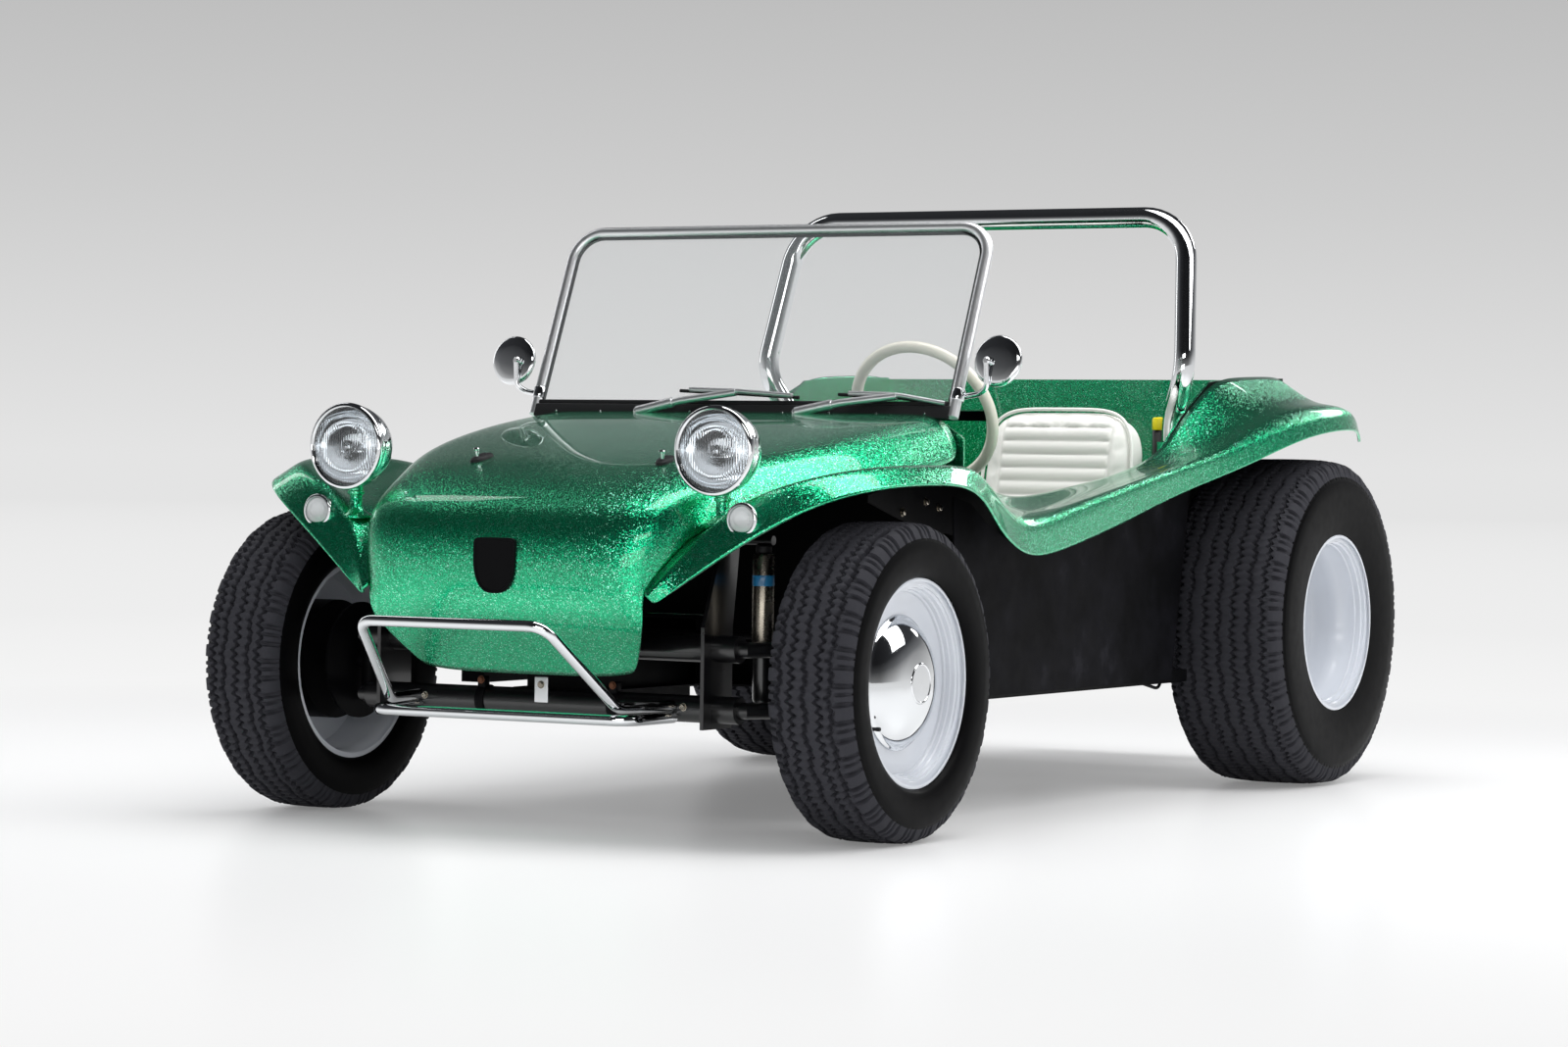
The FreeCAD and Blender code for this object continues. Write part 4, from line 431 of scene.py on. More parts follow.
FRONT_TREAD = [
    (3.2, 306, 4), (6.2, 315.6, 4), (15.5, 315.6), (24.6, 315.5, -4), (27.6, 305.6, -4), (33.4, 305.4, -4),
    (36.4, 315.2, -4), (43, 315), (49.6, 314.8, 4), (52.6, 305, 4), (58.6, 304.6, 4), (61.6, 313.8, 4),
    (67, 313, 0, 6), (70, 312.4, 0, 12), (78, 308.6, 0, 13), (85, 301, 0, 12), (89.5, 291, 0, 9), (92, 284.5),
    (93.4, 279), (94, 277.6), (94.1, 274), (94.9, 272), (95, 258), (94.6, 244), (92.5, 228), (88.5, 216),
    (84, 210), (80.3, 208.2)]
REAR_TREAD = [
    (2.8, 374.6, 4), (5.8, 384.6, 4), (17.5, 384.5), (29.2, 384.4, -4), (32, 374.6, -4), (38.2, 374.6, -4),
    (41, 384.2, -4), (54, 384), (66.4, 383.6, 4), (69.2, 373.8, 4), (75.4, 373.6, 4), (78.2, 383, 4),
    (90, 382), (100.4, 381, -4), (103.2, 371.8, -4), (109.2, 371, -4), (112, 379.6, -4), (119.5, 378, 0, 4),
    (122.5, 377.4, 0, 11), (131, 373, 0, 12), (138, 364, 0, 11), (142, 352, 0, 8), (144, 344), (145.6, 336),
    (146.4, 335), (146.6, 329), (147.3, 327), (147.8, 306), (147.4, 280), (145.5, 252), (142.5, 230),
    (140.6, 216), (139.3, 208.2)]
FRONT_HUB, REAR_HUB = (0.672, -1.066, 0.316), (0.657, 0.966, 0.385)
WHEELS = [("front_left", 1, FRONT_HUB), ("front_right", -1, FRONT_HUB), ("rear_left", 1, REAR_HUB),
          ("rear_right", -1, REAR_HUB)]
# Half of the profile, its point where the dusty tread ends, waves round the tread and steps round the tyre
TYRES = {FRONT_HUB: (FRONT_TREAD, 17, 108, 648), REAR_HUB: (REAR_TREAD, 22, 132, 792)}
# Black rubber of the walls, and the same rubber grey with dust on the tread
tyre_rubber = finish_of("tyre_rubber", "#070708", (0.34, 0.5, 40), Specular_IOR_Level=0.05)
dusty_rubber = finish_of("dusty_tread_rubber", "#323237", (0.6, 0.85, 90), Specular_IOR_Level=0.14)
for label, hand, hub in WHEELS:
    half, tread_end, waves, steps = TYRES[hub]
    profile = half[::-1] + [(-point[0],) + point[1:] for point in half]
    tyre = turned("tread_and_walls_" + label, wheel_rings(profile, hub, hand, steps, waves), tyre_rubber,
                  "tyre_" + label, "wheel_" + label)
    tyre.data.materials.append(dusty_rubber)
    axle, shoulder = Vector((0, hub[1], hub[2])), half[tread_end][1] / 1000
    for face in tyre.data.polygons:
        if (Vector((0, face.center.y, face.center.z)) - axle).length > shoulder:
            face.material_index = 1

# Wheels: pressed steel in white enamel, with a rolled lip, a sloping wall and a shallow drop; the rear
# ones are widened, so their discs lie deep inside.
FRONT_DISC = [
    (79.5, 200), (80, 204), (79, 207), (76, 207.6), (73, 206), (72, 199), (70, 193), (66, 192.6), (64, 188),
    (56, 187.4), (54, 184), (46, 183.4), (44, 180), (39, 179), (36.5, 172), (35.2, 158), (34.6, 140),
    (34.8, 124), (35, 60), (35, 0.5), (28.4, 0.5), (28.4, 150), (30, 170), (31, 184), (6, 188), (-44, 190),
    (-66, 194), (-72, 199), (-74, 207), (-79, 207.4), (-79.8, 203), (-79.5, 197)]
REAR_DISC = [
    (138.5, 200), (139, 204), (138, 207), (135, 207.6), (132, 206), (131, 199), (129, 192), (122, 191.6),
    (120, 187.6), (108, 187), (106, 184.4), (70, 183.4), (68, 181.6), (40, 181), (12, 178), (0, 172),
    (-4, 160), (-5, 140), (-4.2, 120), (-4, 60), (-4, 0.5), (-10.8, 0.5), (-10.8, 150), (-9, 172),
    (-12, 186), (-60, 189), (-110, 190.5), (-126, 195), (-131, 200), (-133, 207), (-138, 207.4),
    (-138.8, 203), (-138.5, 197)]
FRONT_CAP = [
    (35.2, 133.5), (37.5, 134), (39.5, 132.4), (40.5, 129), (45, 126), (56, 117), (67, 103), (77, 84),
    (83.5, 63), (86.4, 43), (86.8, 41), (88.6, 40.2), (89.4, 38.6), (89.2, 36.8), (88, 35.8), (88.4, 20),
    (88.6, 0.4)]
REAR_CAP = [
    (-3.6, 59.5), (-1, 60), (1, 58.4), (2, 56), (10, 53), (20, 45), (27, 33), (30.6, 20), (31.6, 10),
    (32, 0.4)]
# Stoved white enamel of the wheels, and bright plating, mirror smooth with a faint haze
white_enamel = finish_of("white_wheel_enamel", "#cfd3da", (0.2, 0.3, 20), Coat_Weight=0.6,
                         Coat_Roughness=0.08)
chrome = finish_of("polished_chrome", "#dfe1e3", (0.03, 0.09, 30), Metallic=1.0)
for label, hand, hub in WHEELS:
    disc, cap = (FRONT_DISC, FRONT_CAP) if hub == FRONT_HUB else (REAR_DISC, REAR_CAP)
    turned("pressed_wheel_" + label, wheel_rings(disc, hub, hand, 128), white_enamel,
           "rim_" + label, "wheel_" + label)
    turned("spun_cap_" + label, wheel_rings(cap, hub, hand, 128), chrome, "hubcap_" + label,
           "wheel_" + label)

# Headlamps: spun chrome bowls with a screwed-on bright ring and a fluted glass, each on a short
# painted stalk that stands in a cone on the fender.
LAMP_X, LAMP_Y, LAMP_Z, FLUTE_SCALE = 0.436, -1.328, 0.765, 57.0
# Pressed lamp glass with 5.5 mm upright flutes
fluted_glass = finish_of("fluted_lamp_glass", "#eef3f6", Transmission_Weight=0.95, IOR=1.45, Roughness=0.02)
tree = fluted_glass.node_tree
flutes = node(tree, "ShaderNodeTexWave", {"Vector": own_place(tree), "Scale": FLUTE_SCALE},
              bands_direction="X")
bump = node(tree, "ShaderNodeBump", {"Height": flutes.outputs["Fac"], "Strength": 0.4, "Distance": 0.002})
feed(tree.nodes["Principled BSDF"], {"Normal": bump.outputs[0]})


def facing_ahead(name, profile, place, material, stands_for, steps=96):
    """A turned piece from (forward, radius) in mm, round an axis that points ahead."""
    turned(name, [[Vector(place) + Vector((radius * math.cos(angle), -ahead, radius * math.sin(angle))) / 1000
                   for ahead, radius in profile] for angle in angles(steps)], material, stands_for)


for label, hand in SIDES:
    middle = (LAMP_X * hand, LAMP_Y, LAMP_Z)
    facing_ahead("headlamp_shell_" + label, [
        (2, 78), (4.5, 79.5), (6.5, 82), (6, 85.5), (3, 88.4), (-3, 89), (-10, 88.2), (-13, 86.5),
        (-15, 86.6), (-30, 84), (-52, 77), (-72, 66), (-88, 50), (-98, 32), (-103, 14), (-104.5, 0.3),
        (-102, 0.3), (-98, 20), (-86, 42), (-66, 58), (-44, 68), (-20, 74), (-2, 76)],
        middle, chrome, "headlamps")
    facing_ahead("headlamp_glass_" + label, [
        (1.5, 79), (3.2, 77.5), (6, 68), (8, 56), (9.4, 42), (10.2, 28), (10.8, 14), (11, 0.3)],
        middle, fluted_glass, "headlamp_lenses")
    facing_ahead("headlamp_shade_" + label, [
        (-40, 0.3), (-40, 12), (-22, 12), (-16, 10), (-13, 5), (-12, 0.3)],
        middle, chrome, "headlamps", 32)

# Bright tubes: the roll hoop, the windshield frame and both bumpers are bent steel tube, plated and
# polished; the hoop's legs turn in below the rim and are bolted down on the wheelhouse ledges.
def bent_line(points, bend, chords=10):
    """A path with its corners turned into arcs, and the direction at each of its points."""
    points = [Vector(point) for point in points]
    line = [points[0]]
    for before, corner, after in zip(points, points[1:], points[2:]):
        back, ahead = (before - corner).normalized(), (after - corner).normalized()
        half = back.angle(ahead) / 2
        reach = bend / math.tan(half)
        middle = corner + (back + ahead).normalized() * (bend / math.sin(half))
        start, end = corner + back * reach - middle, corner + ahead * reach - middle
        for step in range(chords + 1):
            line.append(middle + start.slerp(end, step / chords) * bend)
    line.append(points[-1])
    return line


def tube_rings(line, radius, sides=28):
    """Rings round a path, closed at both ends."""
    ways = [(line[min(step + 1, len(line) - 1)] - line[max(step - 1, 0)]).normalized()
            for step in range(len(line))]
    side = ways[0].orthogonal().normalized()
    rings = [[line[0]] * (sides + 1)]
    for spot, way in zip(line, ways):
        side = (side - way * side.dot(way)).normalized()
        other = way.cross(side)
        rings.append([spot + (side * math.cos(math.tau * step / sides)
                              + other * math.sin(math.tau * step / sides)) * radius
                      for step in range(sides)])
        rings[-1].append(rings[-1][0])
    rings.append([line[-1]] * (sides + 1))
    return rings


def tube_along(name, line, radius, material, stands_for=None, sides=28, crease=60):
    """A round tube along a finished path."""
    mesh = bmesh.new()
    moulding(mesh, tube_rings(line, radius, sides))
    weld(mesh, 0.00002)
    piece_of(name, mesh, material, stands_for, crease=crease)


def tube(name, points, bend, radius, material, slot, stands_for=None, sides=28):
    """A round tube with bends of one radius at the inner points."""
    tube_along(name, bent_line(points, bend), radius, material, stands_for, sides)


# Brushed alloy-coloured plating of the windshield, and the moulded rubber of seals, blades and bushes
satin_alloy = finish_of("satin_alloy_tube", "#f0f1f3", (0.34, 0.46, 80), Metallic=1.0)
trim_black = finish_of("moulded_black_rubber", "#161618", (0.45, 0.65, 60), Specular_IOR_Level=0.25)
for name, points, bend, radius, material, slot, stands_for in [
        ("roll_hoop_tube", [(0.512, 0.634, 0.8065), (0.512, 0.634, 0.8665), (0.560, 0.591, 0.962),
                            (0.517, 0.685, 1.331)], 0.12, 0.025, chrome, "chrome", "roll_hoop"),
        ("windshield_tube", [(0.522, -0.494, 0.8428), (0.522, -0.319, 1.253)],
         0.07, 0.0125, satin_alloy, "chrome", "windshield_frame"),
        ("windshield_gasket", [(0.5075, -0.494, 0.8428), (0.5075, -0.3247, 1.2397)],
         0.056, 0.0036, trim_black, "black_trim", "windshield_frame"),
        ("bumper_low_bar", [(0.303, -1.247, 0.239), (0.303, -1.417, 0.239)],
         0.042, 0.011, chrome, "chrome", "front_bumper"),
        ("bumper_high_bar", [(0.300, -1.247, 0.262), (0.268, -1.400, 0.262), (0.215, -1.585, 0.424)],
         0.042, 0.011, chrome, "chrome", "front_bumper"),
        ("rear_bumper_tube", [(0.480, 0.989, 0.470), (0.480, 1.577, 0.470)],
         0.09, 0.019, chrome, "chrome", "rear_bumper")]:
    tube(name, to_the_right(points), bend, radius, material, slot, stands_for)

# Turn signals: a bright stepped bezel with a clear stepped dome, screwed to the front of each fender.
SIGNAL_X, SIGNAL_Y, SIGNAL_Z = 0.503, -1.330, 0.633
# Moulded clear lens, slightly milky
lens_glass = finish_of("moulded_lens_glass", "#f2f5f5", (0.08, 0.15, 30), Transmission_Weight=0.6, IOR=1.5)
for label, hand in SIDES:
    middle = (SIGNAL_X * hand, SIGNAL_Y, SIGNAL_Z)
    facing_ahead("signal_bezel_" + label, [
        (-36, 22), (-34, 28), (-12, 30), (-4, 33.6), (0, 34), (3, 33.4), (4.4, 31.6), (4.6, 28.6),
        (2.6, 26.6), (-2, 26), (-2, 0.3), (-36, 0.3)], middle, chrome, "turn_signals", 64)
    facing_ahead("signal_lens_" + label, [
        (1, 26), (3.5, 25.2), (4.2, 23), (5.6, 22.4), (6.2, 20), (7.6, 19.4), (8, 17), (9.2, 16.2),
        (9.6, 13.5), (10.5, 12.6), (10.8, 8), (11.2, 0.3)], middle, lens_glass, "turn_signals", 64)

# Lamp stalks: short tubes welded to a saucer that is bolted through the fender, painted with the body.
STALK_Y = LAMP_Y + 0.037
STALK = [(-82, 0.3), (-82, 15), (-90, 15), (-92, 17.5), (-97, 17.5), (-99, 13), (-124, 13), (-130, 18),
         (-136, 27), (-141, 36), (-146, 37), (-146, 0.3)]
for label, hand in SIDES:
    turned("lamp_stalk_" + label, [
        [Vector((LAMP_X * hand + radius * math.cos(angle) / 1000, STALK_Y + radius * math.sin(angle) / 1000,
                 LAMP_Z + up / 1000)) for up, radius in STALK]
        for angle in angles(48)], flake_green, "headlamps")

# Steering wheel: a thin cream rim on three flat bright spokes with a plain round horn button.
WHEEL_MIDDLE, LEAN, GRIP_MM, GRIP_RADIUS_MM = (0.300, -0.200, 0.855), math.radians(28), 163, 13
at = Matrix.Translation
to_wheel = at(WHEEL_MIDDLE) @ Matrix.Rotation(LEAN - math.pi / 2, 4, "X")
# Cream moulded plastic
cream = finish_of("cream_wheel_rim", "#e9e4d6", (0.25, 0.35, 40), Coat_Weight=0.4, Coat_Roughness=0.1)


def wheel_part(name, profile, steps, material):
    """A turned part of the steering wheel, from (radius, up) in mm with the driver above."""
    turned(name, [[to_wheel @ (Vector((radius * math.cos(angle), radius * math.sin(angle), up)) / 1000)
                   for radius, up in profile] for angle in angles(steps)], material, "steering_wheel",
           "steering")


def block(name, place, span, radius, material, slot, stands_for=None, segments=3, crease=50, body="body"):
    """A rounded block, from its place and its span."""
    mesh = bmesh.new()
    bmesh.ops.create_cube(mesh, size=1, matrix=place @ Matrix.Diagonal(span + (1,)))
    bmesh.ops.bevel(mesh, geom=mesh.edges[:], offset=radius, segments=segments, profile=0.5, material=-1,
                    affect="EDGES")
    piece_of(name, mesh, material, stands_for, body, crease)


grip = [(GRIP_MM + GRIP_RADIUS_MM * math.cos(angle), GRIP_RADIUS_MM * math.sin(angle))
        for angle in angles(16)]
wheel_part("steering_rim", grip + grip[:1], 96, cream)
wheel_part("steering_hub", [
    (0.3, -59), (20, -59), (22, -50), (24, -30), (33, -18), (34, -8), (33, -2), (29, 3), (26, 3.4), (24, 2),
    (22, 4), (14, 7), (0.3, 8)], 64, trim_black)
for step, turn in enumerate((0, 180, 90)):
    block("steering_spoke_%d" % (step + 1),
          to_wheel @ Matrix.Rotation(math.radians(turn), 4, "Z") @ at((0.090, 0, -0.006)),
          (0.132, 0.026, 0.003), 0.0012, chrome, "chrome", "steering_wheel", 2, 0, "steering")

# Valve stems: short black rubber stems that stand out of each wheel's disc.
def lathe(name, profile, place, material, slot, stands_for=None, steps=48, body="body"):
    """Spin a profile of (along, radius) in mm round its own axis, and set it in its place."""
    mesh = bmesh.new()
    corners = [mesh.verts.new((radius / 1000, 0, along / 1000)) for along, radius in profile]
    for pair in zip(corners, corners[1:]):
        mesh.edges.new(pair)
    bmesh.ops.spin(mesh, geom=mesh.verts[:] + mesh.edges[:], cent=(0, 0, 0), axis=(0, 0, 1), angle=math.tau,
                   steps=steps, use_merge=True)
    weld(mesh, 0.00005)
    mesh.transform(place)
    piece_of(name, mesh, material, stands_for, body, crease=40)


def standing_on(place, way):
    """A matrix that stands an upright piece on a point, along a direction."""
    return at(place) @ Vector(way).to_track_quat("Z", "Y").to_matrix().to_4x4()


DISC_FACE_M, STEM_BACK, STEM_DROP = {FRONT_HUB: 0.033, REAR_HUB: -0.006}, 0.12, 0.085
for label, hand, hub in WHEELS:
    place = (hand * (hub[0] + DISC_FACE_M[hub]), hub[1] - STEM_BACK, hub[2] - STEM_DROP)
    lathe("valve_stem_" + label, [
        (0, 0), (0, 6), (6, 5), (8, 4), (20, 3.6), (21, 4.2), (29, 4.2), (30, 3.4), (30, 0)],
        standing_on(place, (hand, 0, 0)), trim_black, "black_trim", steps=16, body="wheel_" + label)

# Front shock absorbers: a plated steel sleeve with a blue enamel band over a black body, with a rubber
# bush on the top pin.
SHOCK_X, SHOCK_Y = 0.440, -1.135
# Zinc-plated steel, blue stoved enamel, and glossy black enamel
plated = finish_of("plated_steel_sleeve", "#9d968a", (0.2, 0.34, 60), Metallic=1.0)
blue_band = finish_of("blue_enamel_band", "#1c6b99", (0.3, 0.4, 60), Coat_Weight=0.5, Coat_Roughness=0.1)
gloss_black = finish_of("gloss_black_enamel", "#08080a", (0.22, 0.42, 35), Coat_Weight=0.7,
                        Coat_Roughness=0.12)
SHOCK_PARTS = [
    ("lower_body", gloss_black, "pan_black",
     [(266, 0), (266, 10), (270, 17), (276, 19), (372, 19), (376, 20), (386, 20), (387, 0)]),
    ("sleeve", plated, "brushed",
     [(386.5, 0), (386.5, 20.4), (389, 21.6), (392, 21.8), (560, 21.8), (563, 20), (564, 0)]),
    ("band", blue_band, "brushed",
     [(500, 21), (500, 22), (501, 22.4), (520, 22.4), (521, 22), (521, 21)]),
    ("top_bush", trim_black, "black_trim",
     [(563.5, 0), (563.5, 10), (566, 15), (570, 16), (578, 16), (580, 13), (580, 0)])]
for label, hand in SIDES:
    for part, material, slot, profile in SHOCK_PARTS:
        lathe("shock_%s_%s" % (part, label), profile, at((SHOCK_X * hand, SHOCK_Y, 0)), material, slot,
              "front_shocks")

# Bottle behind the left seat: a black enamelled steel bottle with a yellow cap, clipped to a red bracket
# on the wheelhouse wall.
BOTTLE_X, BOTTLE_Y = 0.466, 0.664
# Yellow moulded plastic, and red stoved enamel
yellow = finish_of("yellow_moulded_cap", "#e6d60a", (0.3, 0.45, 60))
red_paint = finish_of("red_enamel_bracket", "#b3120e", (0.25, 0.4, 60), Coat_Weight=0.4)
lathe("bottle_body", [
    (700, 0), (700, 15), (703, 17.4), (707, 18), (826, 18), (832, 16.5), (835, 13), (838, 0)],
    at((BOTTLE_X, BOTTLE_Y, 0)), gloss_black, "black_trim", "extinguisher")
lathe("bottle_cap", [(833, 0), (833, 17), (835, 18), (856, 18), (860, 17), (862, 14), (863, 0)],
      at((BOTTLE_X, BOTTLE_Y, 0)), yellow, "black_trim", "extinguisher")
block("bottle_bracket", at((0.4835, 0.6715, 0.79)), (0.007, 0.012, 0.19), 0.0015, red_paint, "black_trim",
      "extinguisher", 2, 0)

# Nose shield and hood latches: a bare black shield is riveted to the nose, and two black rubber latches
# with bright hooks hold the hood down.
def thicken(mesh, shift):
    """Give a flat mesh a thickness."""
    grown = bmesh.ops.extrude_face_region(mesh, geom=mesh.faces[:])["geom"]
    moved = [item for item in grown if isinstance(item, bmesh.types.BMVert)]
    bmesh.ops.translate(mesh, verts=moved, vec=shift)


# The shield's half width, its heights above and below the middle, and its thickness
SHIELD_HALF, SHIELD_ABOVE, SHIELD_BELOW, SHIELD_THICK = 0.049, 0.042, 0.068, 0.007
shield = bmesh.new()
bmesh.ops.create_circle(shield, cap_ends=True, segments=64, radius=1)
for corner in shield.verts:
    across, up = corner.co.x, corner.co.y
    corner.co.x = math.copysign(abs(across) ** (0.3 if up > 0 else 0.75), across) * SHIELD_HALF
    corner.co.y = math.copysign(abs(up) ** (0.2 if up > 0 else 0.95), up) * (
        SHIELD_ABOVE if up > 0 else SHIELD_BELOW)
thicken(shield, (0, 0, SHIELD_THICK))
front = [item for item in shield.faces if item.calc_center_median().z > SHIELD_THICK - 0.0001]
bmesh.ops.inset_region(shield, faces=front, thickness=0.004, depth=0)
bmesh.ops.inset_region(shield, faces=front, thickness=0.0012, depth=-0.0016)
bmesh.ops.recalc_face_normals(shield, faces=shield.faces[:])
shield.transform(at((0, -1.4285, 0.547)) @ Matrix.Rotation(math.radians(90), 4, "X"))
piece_of("nose_shield", shield, satin_black, crease=30)
for label, hand in SIDES:
    latch = standing_on((0.22 * hand, -1.1527, 0.7405), (0.03 * hand, -0.244, 0.97))
    lathe("latch_pad_" + label, [(0, 0), (0, 20), (2, 22), (7, 21), (10, 17), (11, 9), (13, 8), (14, 0)],
          latch @ Matrix.Diagonal((0.75, 1.5, 1, 1)), trim_black, "black_trim")
    lathe("latch_hook_" + label, [(10, 0), (10, 3.5), (22, 3.5), (23, 6), (27, 6.4), (29, 5), (30, 0)],
          latch @ at((0, -0.012, 0)), chrome, "chrome", steps=24)

# Windshield seal: a black rubber moulding in two steps, screwed along the cowl under the frame.
GLASS_LEAN, SCREW_PITCH = math.atan2(0.175, 0.410), 0.115
for name, place, span in [("seal_lower", (0, -0.4985, 0.8535), (1.035, 0.010, 0.030)),
                          ("seal_upper", (0, -0.4845, 0.8705), (1.03, 0.014, 0.010))]:
    block(name, at(place) @ Matrix.Rotation(-GLASS_LEAN, 4, "X"), span, 0.003, trim_black, "black_trim",
          "windshield_strip")
for step in range(9):
    lathe("seal_screw_%d" % (step + 1), [(-3, 0), (-3, 3.4), (0, 3.4), (1.2, 2.4), (1.6, 0)], standing_on(
        ((step - 4) * SCREW_PITCH, -0.5045, 0.8515), (0, -math.cos(GLASS_LEAN), math.sin(GLASS_LEAN))),
        chrome, "chrome", steps=16)

# Wipers: pressed bright arms on domed pivots in the cowl, with black rubber blades that rest on the seal.
PIVOT = [(-16, 0), (-16, 11), (-12, 11.5), (-6, 8), (0, 8), (2, 9), (8, 9), (12, 6.5), (14, 0)]
ARM = (satin_alloy, "chrome", "wipers")
for label, pivot, joint, tip in [
        ("right", (-0.233, -0.530, 0.846), (-0.006, -0.494, 0.8945), (0.134, -0.494, 0.8885)),
        ("left", (0.164, -0.530, 0.846), (0.388, -0.494, 0.8880), (0.504, -0.494, 0.8730))]:
    pivot, joint, tip = Vector(pivot), Vector(joint), Vector(tip)
    foot, heel = pivot + Vector((0, 0, 0.006)), joint + Vector((-0.115, 0, 0.006))
    past_tip = tip + (tip - joint).normalized() * 0.012
    lathe("wiper_pivot_" + label, PIVOT, at(pivot), chrome, "chrome", "wipers")
    tube("wiper_arm_" + label, [foot, pivot.lerp(joint, 0.45) + Vector((0, 0, 0.008)), joint], 0.2, 0.0082,
         *ARM)
    tube("wiper_root_" + label, [foot, pivot.lerp(joint, 0.36) + Vector((0, 0, 0.0085))], 0.2, 0.0108, *ARM)
    tube("wiper_holder_" + label, [heel, joint + Vector((0, 0, 0.003)), tip], 0.3, 0.0050, *ARM)
    tube("wiper_blade_" + label, [heel + Vector((-0.03, 0.009, -0.003)), joint + Vector((0, 0.009, -0.003)),
                                  past_tip + Vector((0, 0.009, -0.004))],
         0.3, 0.0038, trim_black, "black_trim", "wipers")

# Inner guards: black steel plates that carry the fenders' inner flange on from the side panels, bolted on.
GUARD_X, GUARD_THICK = 0.596, 0.003
GUARD = [(-0.632, 0.600), (-0.632, 0.694), (-0.700, 0.700), (-0.900, 0.698), (-1.000, 0.682), (-1.000, 0.668),
         (-0.870, 0.634), (-0.750, 0.612)]
for label, hand in SIDES:
    plate = bmesh.new()
    plate.faces.new([plate.verts.new((GUARD_X * hand, y, z)) for y, z in GUARD])
    thicken(plate, (GUARD_THICK * hand, 0, 0))
    bmesh.ops.recalc_face_normals(plate, faces=plate.faces[:])
    piece_of("inner_guard_" + label, plate, satin_black, crease=0)
    for step, (y, z) in enumerate([(-0.855, 0.6475), (-0.755, 0.6685), (-0.698, 0.6563)]):
        lathe("guard_bolt_%s_%d" % (label, step + 1),
              [(-1, 0), (-1, 9), (1, 9), (1.2, 6.4), (6, 6), (7, 4.6), (7.2, 0)],
              standing_on(((GUARD_X + GUARD_THICK) * hand, y, z), (hand, 0, 0)), plated, "brushed", steps=24)

# Brake pipes: black steel pipes that hang between the pan's rails and the rear axle.
for label, hand in SIDES:
    tube("brake_pipe_" + label, [(0.560 * hand, 0.240, 0.262), (0.568 * hand, 0.330, 0.262),
                                 (0.556 * hand, 0.480, 0.238), (0.470 * hand, 0.760, 0.340)],
         0.09, 0.0038, trim_black, "black_trim", sides=12)

# Seats: low bucket seats in white vinyl over foam, each a cushion and a back with a round top. Sewn
# channels run across both, inside a plain border with a piped edge, and a black steel stand carries them.
CHANNEL_MM, BORDER_M, PAD_CAP, PIPING_INSET = 31.5, 0.056, 0.010, 0.004
CHANNEL_DEPTH, SEAM_DEPTH, SEAM_HALF, VOXEL, EDGE_ROUND = 0.007, 0.004, 0.0035, 0.0068, 0.024
SEAT_X, SEAT_HALF = 0.320, 0.194
# Grained white seat vinyl
vinyl = finish_of("white_vinyl", "#e6e5e0", (0.38, 0.5, 30))


def pad_outline(across, up, half_wide, half_tall, top, bottom):
    """A rounded outline: its upper half by one power, its lower half by another."""
    power = top if up > 0 else bottom
    return Vector((math.copysign(abs(across) ** (2 / power), across) * half_wide,
                   math.copysign(abs(up) ** (2 / power), up) * half_tall, 0))


def settle(item):
    """Keep the shape that the modifiers give."""
    item.data = bpy.data.meshes.new_from_object(item.evaluated_get(bpy.context.evaluated_depsgraph_get()))
    item.modifiers.clear()


def pad(name, piping, stands_for, place, half_tall, thick, top, bottom, first_seam):
    """A soft pad, swelled by its stuffing and sewn into channels, and the piping round its edge."""
    mesh = bmesh.new()
    bmesh.ops.create_circle(mesh, cap_ends=True, segments=96, radius=1)
    for corner in mesh.verts:
        corner.co = pad_outline(corner.co.x, corner.co.y, SEAT_HALF, half_tall, top, bottom)
    thicken(mesh, (0, 0, -thick))
    rims = [edge for edge in mesh.edges if abs(edge.verts[0].co.z - edge.verts[1].co.z) < 0.001]
    bmesh.ops.bevel(mesh, geom=rims, offset=EDGE_ROUND, segments=4, profile=0.5, material=-1, affect="EDGES")
    bmesh.ops.recalc_face_normals(mesh, faces=mesh.faces[:])
    item = piece_of(name, mesh, vinyl, stands_for)
    modifier(item, "REMESH", mode="VOXEL", voxel_size=VOXEL)
    settle(item)
    rest = [corner.co.copy() for corner in item.data.vertices]
    cloth = modifier(item, "CLOTH").settings
    cloth.use_pressure = True
    cloth.uniform_pressure_force = 4
    cloth.effector_weights.gravity = 0
    for moment in range(1, 21):
        scene.frame_set(moment)
    settle(item)
    for corner, home in zip(item.data.vertices, rest):
        move = corner.co - home
        corner.co = home + move * min(1, PAD_CAP / max(move.length, 1e-9))
    scene.frame_set(1)
    modifier(item, "SUBSURF", levels=1, render_levels=1)
    settle(item)
    for corner in item.data.vertices:
        face_on = min(1, max(0, (corner.co.z + thick * 0.3) / (thick * 0.2)))
        edge = SEAT_HALF - BORDER_M - abs(corner.co.x)
        above = half_tall - first_seam - corner.co.y
        inside = min(1, max(0, min(edge, above, corner.co.y + half_tall - 0.02) / 0.006))
        swell = abs(math.sin(math.pi * (above / CHANNEL_MM * 1000))) ** 0.55
        seam = math.exp(-(edge / SEAM_HALF) ** 2) * (above > 0)
        corner.co.z -= face_on * (CHANNEL_DEPTH * inside * (1 - swell) + SEAM_DEPTH * seam)
    item.data.transform(place)
    for face in item.data.polygons:
        face.use_smooth = True
    edge = [place @ (pad_outline(math.cos(angle), math.sin(angle), SEAT_HALF - PIPING_INSET,
                                 half_tall - PIPING_INSET, top, bottom) + Vector((0, 0, -0.012)))
            for angle in (math.tau * (step + 0.5) / 96 for step in range(97))]
    tube_along(piping, edge, 0.0042, vinyl, stands_for, 10, None)


